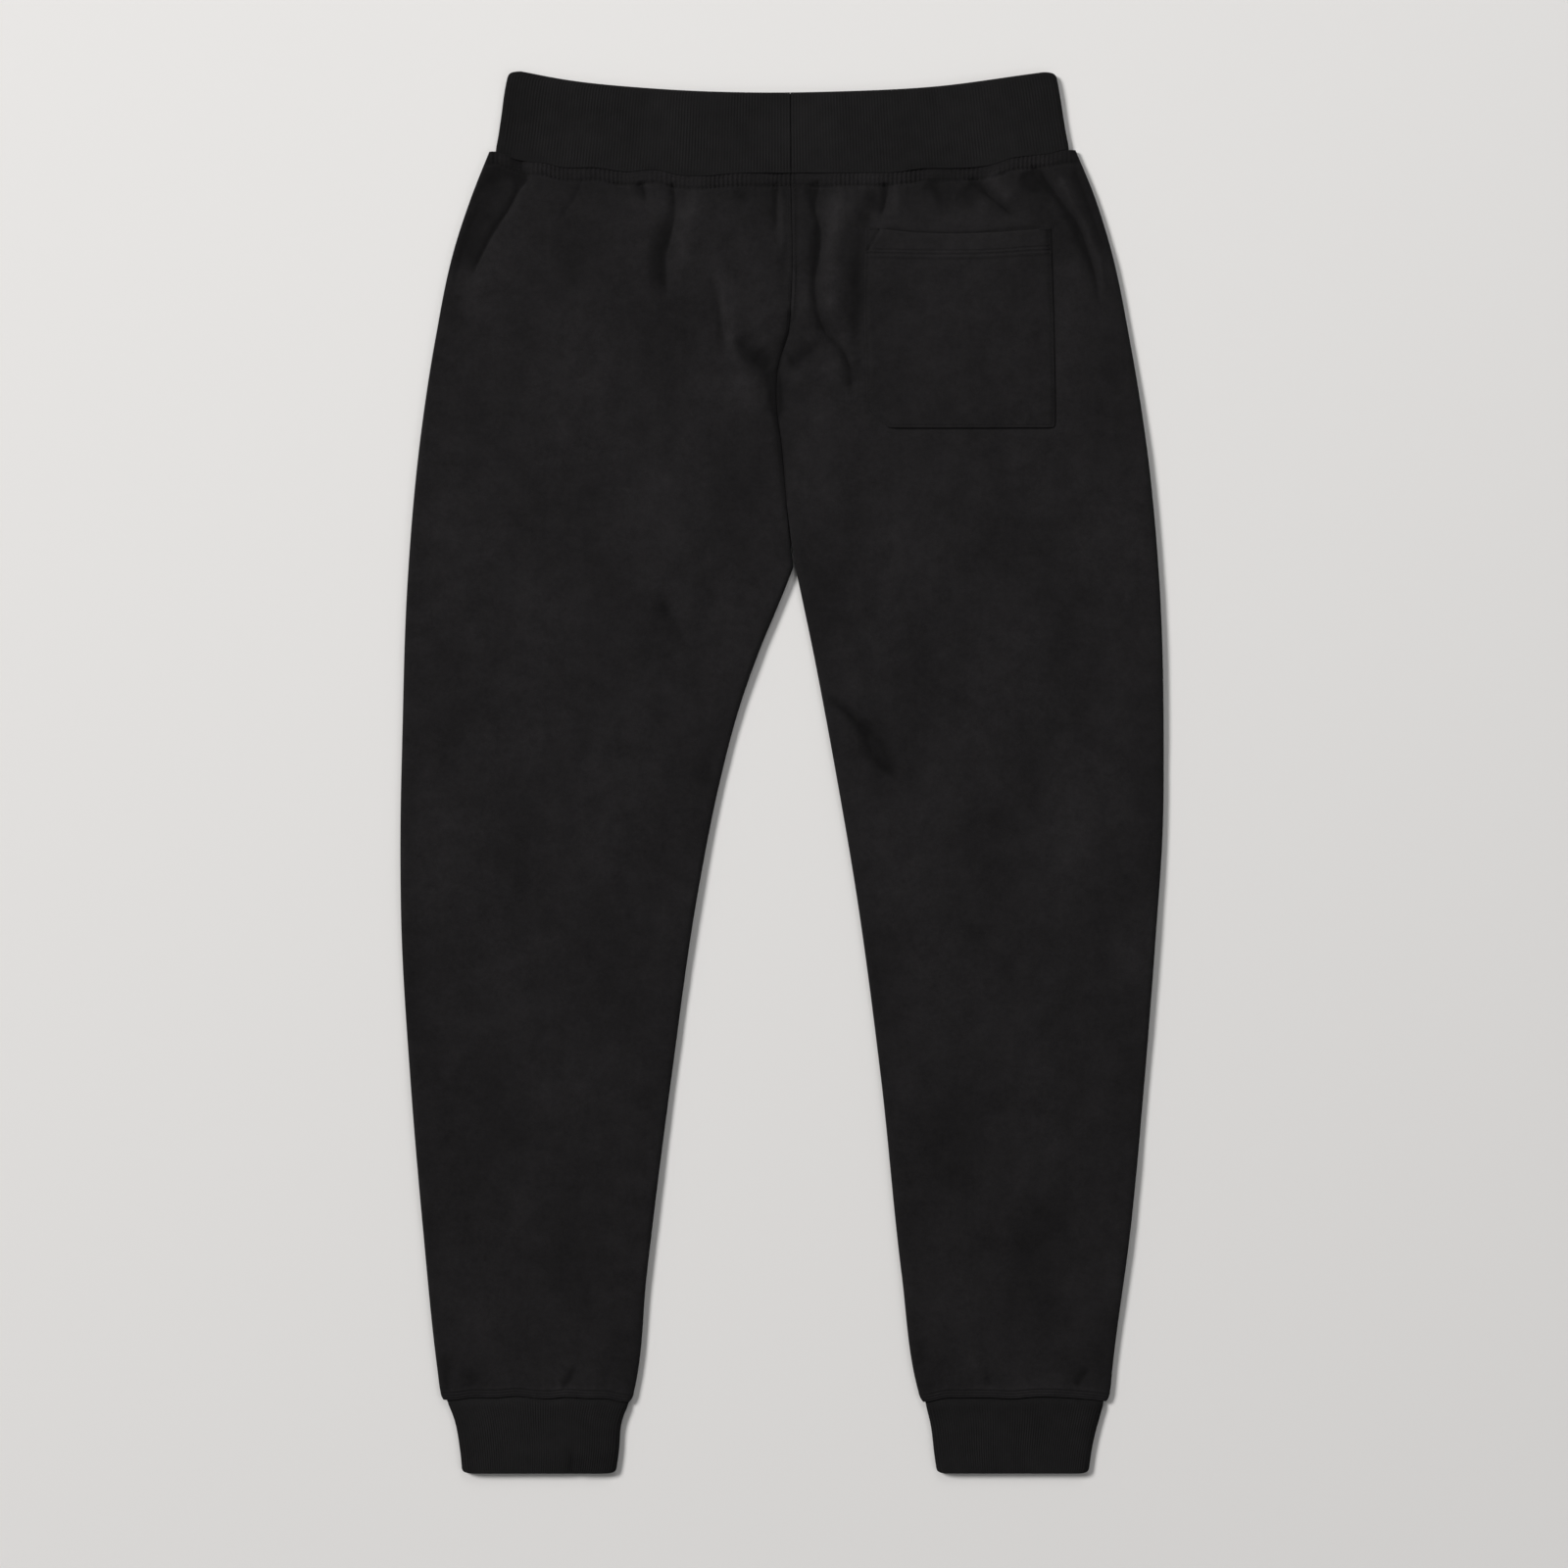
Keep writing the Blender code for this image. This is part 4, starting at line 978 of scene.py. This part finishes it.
def row_of_stitches(path_x, path_y, face, pitch=ROW_PITCH):
    """Centres and directions of stitches along a path that lies on a face."""
    steps = np.hypot(np.diff(path_x), np.diff(path_y))
    run = np.concatenate([[0.0], np.cumsum(steps)])
    count = max(1, round(run[-1] / pitch))
    at = (np.arange(count) + 0.5) * run[-1] / count
    ends = []
    for shift in (-0.5, 0.0, 0.5):
        place = np.clip(at + shift * pitch * 0.8, 0, run[-1])
        x = np.interp(place, run, path_x)
        y = np.interp(place, run, path_y)
        ends.append(np.column_stack([x, y, face(x, y)]))
    return ends[1], ends[2] - ends[0]


def waist_sewing(material):
    """Coverstitch under the waist seam: two rows, with cross threads between them."""
    start, stop = WAIST_SEWN
    x = np.linspace(start, stop, 900)
    fine_x = np.linspace(start, stop, 2000)
    bars_at = np.arange(math.ceil(start / BAR_PITCH) + 1, stop / BAR_PITCH - 1) - 0.25
    bar_x = np.interp(TURN * bars_at, bar_turn(fine_x), fine_x)
    rows = []
    bars = []
    for face in (back_at, front_at):
        rows += [row_of_stitches(x, waist_seam(x) - row, face) for row in COVER_ROWS]
        for share in (0.27, 0.73):
            y = waist_seam(bar_x) - mix(COVER_ROWS[0], COVER_ROWS[1], share)
            ends = []
            for shift in (-1, 1):
                end_x = bar_x + shift * 0.45
                end_y = y + shift * (COVER_ROWS[1] - COVER_ROWS[0]) * 0.2
                ends.append(np.column_stack([end_x, end_y, face(end_x, end_y)]))
            bars.append(((ends[0] + ends[1]) / 2, ends[1] - ends[0]))
    stitches("waist_rows", rows, ROW_STITCH, material)
    stitches("waist_cross_threads", bars, CROSS_STITCH, material)


def ankle_sewing(material):
    rows = []
    for ends in ANKLES_SEWN:
        x = np.linspace(*ends, 300)
        for row in ANKLE_ROWS:
            for face in (back_at, front_at):
                rows.append(row_of_stitches(x, ankle_seam(x) + row, face, ANKLE_PITCH))
    stitches("ankle_rows", rows, ANKLE_STITCH, material)


def centre_sewing(material):
    y = np.linspace(CENTRE_ROWS_FROM, WAIST_Y - 1.0, 200)
    rows = []
    for shift in (-CENTRE_ROW, CENTRE_ROW):
        for seam, face in ((centre_seam, back_at), (front_seam, front_at)):
            rows.append(row_of_stitches(seam(y) + shift, y, face))
    stitches("centre_rows", rows, ROW_STITCH, material)


def pocket_top(piece):
    """Height of the pocket's upper surface by nearest point of its mesh."""
    points = np.array([v.co for v in piece.data.vertices]) / MM

    def read(x, y):
        near = [np.argmin((points[:, 0] - a) ** 2 + (points[:, 1] - b) ** 2 - points[:, 2] * 0.02)
                for a, b in zip(x, y)]
        return points[np.array(near), 2]

    return read


def pocket_sewing(piece, material):
    """The hem's two rows, the row round the sewn edges, and a bar tack at each end of the mouth."""
    face = pocket_top(piece)
    x = np.linspace(*HEM_SEWN, 200)
    rows = [row_of_stitches(x, hem_stitch(x) - gap, face) for gap in (0.0, HEM_ROW_GAP)]
    edge_x, edge_y = zip(*POCKET_STITCH)
    run = np.concatenate([[0.0], np.cumsum(np.hypot(np.diff(edge_x), np.diff(edge_y)))])
    at = np.linspace(0, run[-1], 500)
    rows.append(row_of_stitches(np.interp(at, run, edge_x), np.interp(at, run, edge_y), face))
    tacks = []
    for tack in TACKS:
        x = np.linspace(tack.start, tack.stop, TACK_THREADS)
        y = np.full(TACK_THREADS, tack.y)
        tacks.append((np.column_stack([x, y, face(x, y)]), np.tile([0.25, 1.0, 0.0], (TACK_THREADS, 1))))
    return [stitches("pocket_rows", rows, ROW_STITCH, material),
            stitches("pocket_tacks", tacks, TACK_STITCH, material)]


# Materials

Patch = namedtuple("Patch", "scale detail strength")  # a noise of so many hills in a metre
# Painted shade and highlight: the colour darkens where the face sinks below its usual height, in
# creases and at the rolled edges, and lightens where it stands out, in place of the shading that
# the shallow folds don't cast. reach is how far from the garment's middle plane its face usually
# lies, and rub how much it lightens for each millimetre beyond, or darkens for each
# millimetre short of it.
Finish = namedtuple("Finish", "name colour roughness sheen wale course knit reach rub patches")
FLEECE_PATCHES = Patch(13, 3, 0.6), Patch(75, 3, 0.7), Patch(260, 2, 0.5), Patch(1100, 2, 0.7)
FLEECE_BLACK = (0.0124, 0.0116, 0.0122)
FINISHES = {
    "fleece": Finish("black_fleece", FLEECE_BLACK, 0.94, 0.06, 0.85, 0.70, 0.16, 4.2, 0.17,
                     FLEECE_PATCHES),
    "pocket": Finish("black_pocket_fleece", FLEECE_BLACK, 0.94, 0.06, 0.85, 0.70, 0.16, 6.6, 0.12,
                     FLEECE_PATCHES),
    "rib_knit": Finish("black_rib_knit", (0.0096, 0.0092, 0.0095), 0.92, 0.05, 1.15, 0.85, 0.16, 4.5,
                       0.17, (Patch(16, 2, 0.5), Patch(90, 3, 0.5), Patch(1100, 2, 0.6))),
    "thread": Finish("black_thread", (0.0086, 0.0081, 0.0084), 0.65, 0.05, 0.30, 0.60, 0.04, 4.2,
                     0.08, (Patch(60, 2, 0.2), Patch(700, 2, 0.3))),
}
# least and greatest factor of the painted shade and highlight
DARKEST, LIGHTEST = 0.3, 1.6
NAP_PATCH = Patch(75.0, 3.0, 0.08)  # unevenness of the roughness
FUZZ = Patch(2600.0, 3.0, 1.6)  # fibres, in the bump
BUMP_STRENGTH = 0.8
LOOPS_BUMP = 0.3  # the knit's loops, in the bump
WALE_BUMP = 0.9  # share of its columns in them
COURSE_ARM = math.pi * 0.8  # how far its rows bend at the columns
FACING_POWER = 2.0  # how soon a face that turns away gets less of the painted shade and highlight
CLOTH_SPECULAR = 0.1
SHEEN_ROUGHNESS, SHEEN_TINT = 0.45, (0.62, 0.60, 0.62, 1.0)


def cloth_material(finish):
    """Knitted cloth: soft patches and flecks, painted shade in creases and at edges with painted highlight
    where it stands out, a nap's sheen, and wales and courses in its bump.
    """
    material = bpy.data.materials.new(finish.name)
    material.use_nodes = True
    tree = material.node_tree
    shader = tree.nodes["Principled BSDF"]
    shader.inputs["Metallic"].default_value = 0.0
    shader.inputs["Specular IOR Level"].default_value = CLOTH_SPECULAR
    shader.inputs["Sheen Weight"].default_value = finish.sheen
    shader.inputs["Sheen Roughness"].default_value = SHEEN_ROUGHNESS
    shader.inputs["Sheen Tint"].default_value = SHEEN_TINT
    place = tree.nodes.new("ShaderNodeTexCoord").outputs["Object"]

    def value(operation, a, b=0.0):
        """Math node between a and b, each a socket or a number."""
        made = tree.nodes.new("ShaderNodeMath")
        made.operation = operation
        for number, item in enumerate((a, b)):
            if isinstance(item, (int, float)):
                made.inputs[number].default_value = item
            else:
                tree.links.new(item, made.inputs[number])
        return made.outputs[0]

    def noise(patch):
        made = tree.nodes.new("ShaderNodeTexNoise")
        made.inputs["Scale"].default_value = patch.scale
        made.inputs["Detail"].default_value = patch.detail
        tree.links.new(place, made.inputs["Vector"])
        return made.outputs["Fac"]

    shade = 1.0
    for patch in finish.patches:
        hills = value("SUBTRACT", noise(patch), 0.5)
        shade = value("ADD", value("MULTIPLY", hills, patch.strength), shade)
    parts = tree.nodes.new("ShaderNodeSeparateXYZ")
    tree.links.new(place, parts.inputs[0])
    # Painted shade and highlight: darker below the face's usual height from the middle plane, lighter above
    # it, less so on faces that turn away from straight up
    stands = value("ABSOLUTE", value("SUBTRACT", parts.outputs["Z"], EDGE_HEIGHT * MM))
    beyond = value("SUBTRACT", stands, finish.reach * MM)
    facing = tree.nodes.new("ShaderNodeSeparateXYZ")
    tree.links.new(tree.nodes.new("ShaderNodeNewGeometry").outputs["Normal"], facing.inputs[0])
    level = value("POWER", value("ABSOLUTE", facing.outputs["Z"]), FACING_POWER)
    gain = value("MULTIPLY", value("MULTIPLY", beyond, finish.rub / MM), level)
    painted_shade = value("MINIMUM", value("MAXIMUM", value("ADD", gain, 1.0), DARKEST), LIGHTEST)
    shade = value("MULTIPLY", shade, painted_shade)
    tint = tree.nodes.new("ShaderNodeVectorMath")
    tint.operation = "SCALE"
    tint.inputs[0].default_value = finish.colour
    tree.links.new(shade, tint.inputs["Scale"])
    tree.links.new(tint.outputs[0], shader.inputs["Base Color"])

    uneven_nap = value("MULTIPLY", noise(NAP_PATCH), NAP_PATCH.strength)
    rough = value("ADD", uneven_nap, finish.roughness - NAP_PATCH.strength / 2)
    tree.links.new(rough, shader.inputs["Roughness"])

    wale = value("COSINE", value("MULTIPLY", parts.outputs["X"], TURN / (finish.wale * MM)))
    arm = value("MULTIPLY", value("ABSOLUTE", wale), COURSE_ARM)
    course_turn = value("MULTIPLY", parts.outputs["Y"], TURN / (finish.course * MM))
    course = value("SINE", value("ADD", course_turn, arm))
    loops = value("ADD", course, value("MULTIPLY", wale, WALE_BUMP))
    fuzz = value("MULTIPLY", noise(FUZZ), FUZZ.strength)
    height = value("ADD", value("MULTIPLY", loops, LOOPS_BUMP), fuzz)
    bump = tree.nodes.new("ShaderNodeBump")
    bump.inputs["Strength"].default_value = BUMP_STRENGTH
    bump.inputs["Distance"].default_value = finish.knit * MM
    tree.links.new(height, bump.inputs["Height"])
    tree.links.new(bump.outputs["Normal"], shader.inputs["Normal"])
    return material


def build_garment():
    materials = {name: cloth_material(finish) for name, finish in FINISHES.items()}
    fleece, rib, thread = materials["fleece"], materials["rib_knit"], materials["thread"]
    for word, side in SIDE_NAMES.items():
        for layer, bands, rests_on in (("front", FRONT_BANDS, "floor"),
                                       ("back", BACK_BANDS, "cloth_front_" + word)):
            piece = panel("cloth_" + layer + "_" + word, side, layer == "back", bands, fleece)
            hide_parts(layer + "_" + word)

    patch = pocket(materials["pocket"])
    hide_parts("back_pocket")
    for loop in LOOPS:
        piece = knit_loop(loop, rib)
        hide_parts(loop.node)

    pocket_sewing(patch, thread)
    waist_sewing(thread)
    ankle_sewing(thread)
    centre_sewing(thread)


# Studio

FLOOR_REACH = 14.0
FLOOR_COLOUR, FLOOR_ROUGHNESS = (0.76, 0.75, 0.74, 1.0), 0.85
SKY_COLOUR, SKY_STRENGTH = (0.9, 0.9, 0.9, 1.0), 0.14
LAMPS = table(
    "name place target size power colour",
    ("key", (-5.6, 3.2, 6.4), (0.0, 0.0, 0.0), 2.9, 750.0, (1.0, 0.99, 0.98)),
    ("fill", (2.6, -1.6, 3.6), (0.0, 0.0, 0.0), 2.6, 22.0, (1.0, 1.0, 1.0)),
    ("top", (0.4, 1.5, 1.9), (0.0, 0.1, 0.0), 1.2, 9.5, (1.0, 1.0, 1.0)),
)
CAMERA_PLACE = (0.0015, -0.00825, 3.004)  # straight above the garment's middle
CAMERA_LENS, CAMERA_SENSOR, CAMERA_REACH = 90.0, 36.0, 100.0  # two in millimetres, one in metres


def floor():
    mesh = bpy.data.meshes.new("floor")
    corners = [(x * FLOOR_REACH, y * FLOOR_REACH, 0) for x, y in ((-1, -1), (1, -1), (1, 1), (-1, 1))]
    mesh.from_pydata(corners, [], [(0, 1, 2, 3)])
    material = bpy.data.materials.new("pale_floor")
    material.use_nodes = True
    shader = material.node_tree.nodes["Principled BSDF"]
    shader.inputs["Base Color"].default_value = FLOOR_COLOUR
    shader.inputs["Roughness"].default_value = FLOOR_ROUGHNESS
    mesh.materials.append(material)
    piece = bpy.data.objects.new("floor", mesh)
    bpy.context.scene.collection.objects.link(piece)


def area_light(lamp):
    light = bpy.data.lights.new(lamp.name, "AREA")
    light.shape = "DISK"
    light.size = lamp.size
    light.energy = lamp.power
    light.color = lamp.colour
    item = bpy.data.objects.new(lamp.name, light)
    item.location = lamp.place
    aim = np.array(lamp.target) - np.array(lamp.place)
    tilt = math.atan2(math.hypot(aim[0], aim[1]), -aim[2])
    item.rotation_euler = (tilt, 0.0, math.atan2(-aim[0], aim[1]))
    bpy.context.scene.collection.objects.link(item)


def camera():
    lens = bpy.data.cameras.new("camera")
    lens.lens = CAMERA_LENS
    lens.sensor_width = CAMERA_SENSOR
    lens.clip_end = CAMERA_REACH
    eye = bpy.data.objects.new("camera", lens)
    eye.location = CAMERA_PLACE
    bpy.context.scene.collection.objects.link(eye)
    bpy.context.scene.camera = eye


def build_studio():
    floor()
    for lamp in LAMPS:
        area_light(lamp)
    world = bpy.data.worlds.new("studio")
    bpy.context.scene.world = world
    world.use_nodes = True
    sky = world.node_tree.nodes["Background"]
    sky.inputs["Color"].default_value = SKY_COLOUR
    sky.inputs["Strength"].default_value = SKY_STRENGTH
    camera()
    view = bpy.context.scene.view_settings
    view.view_transform = "Standard"
    view.look = "None"
    view.exposure = 0.0


build_garment()
build_studio()
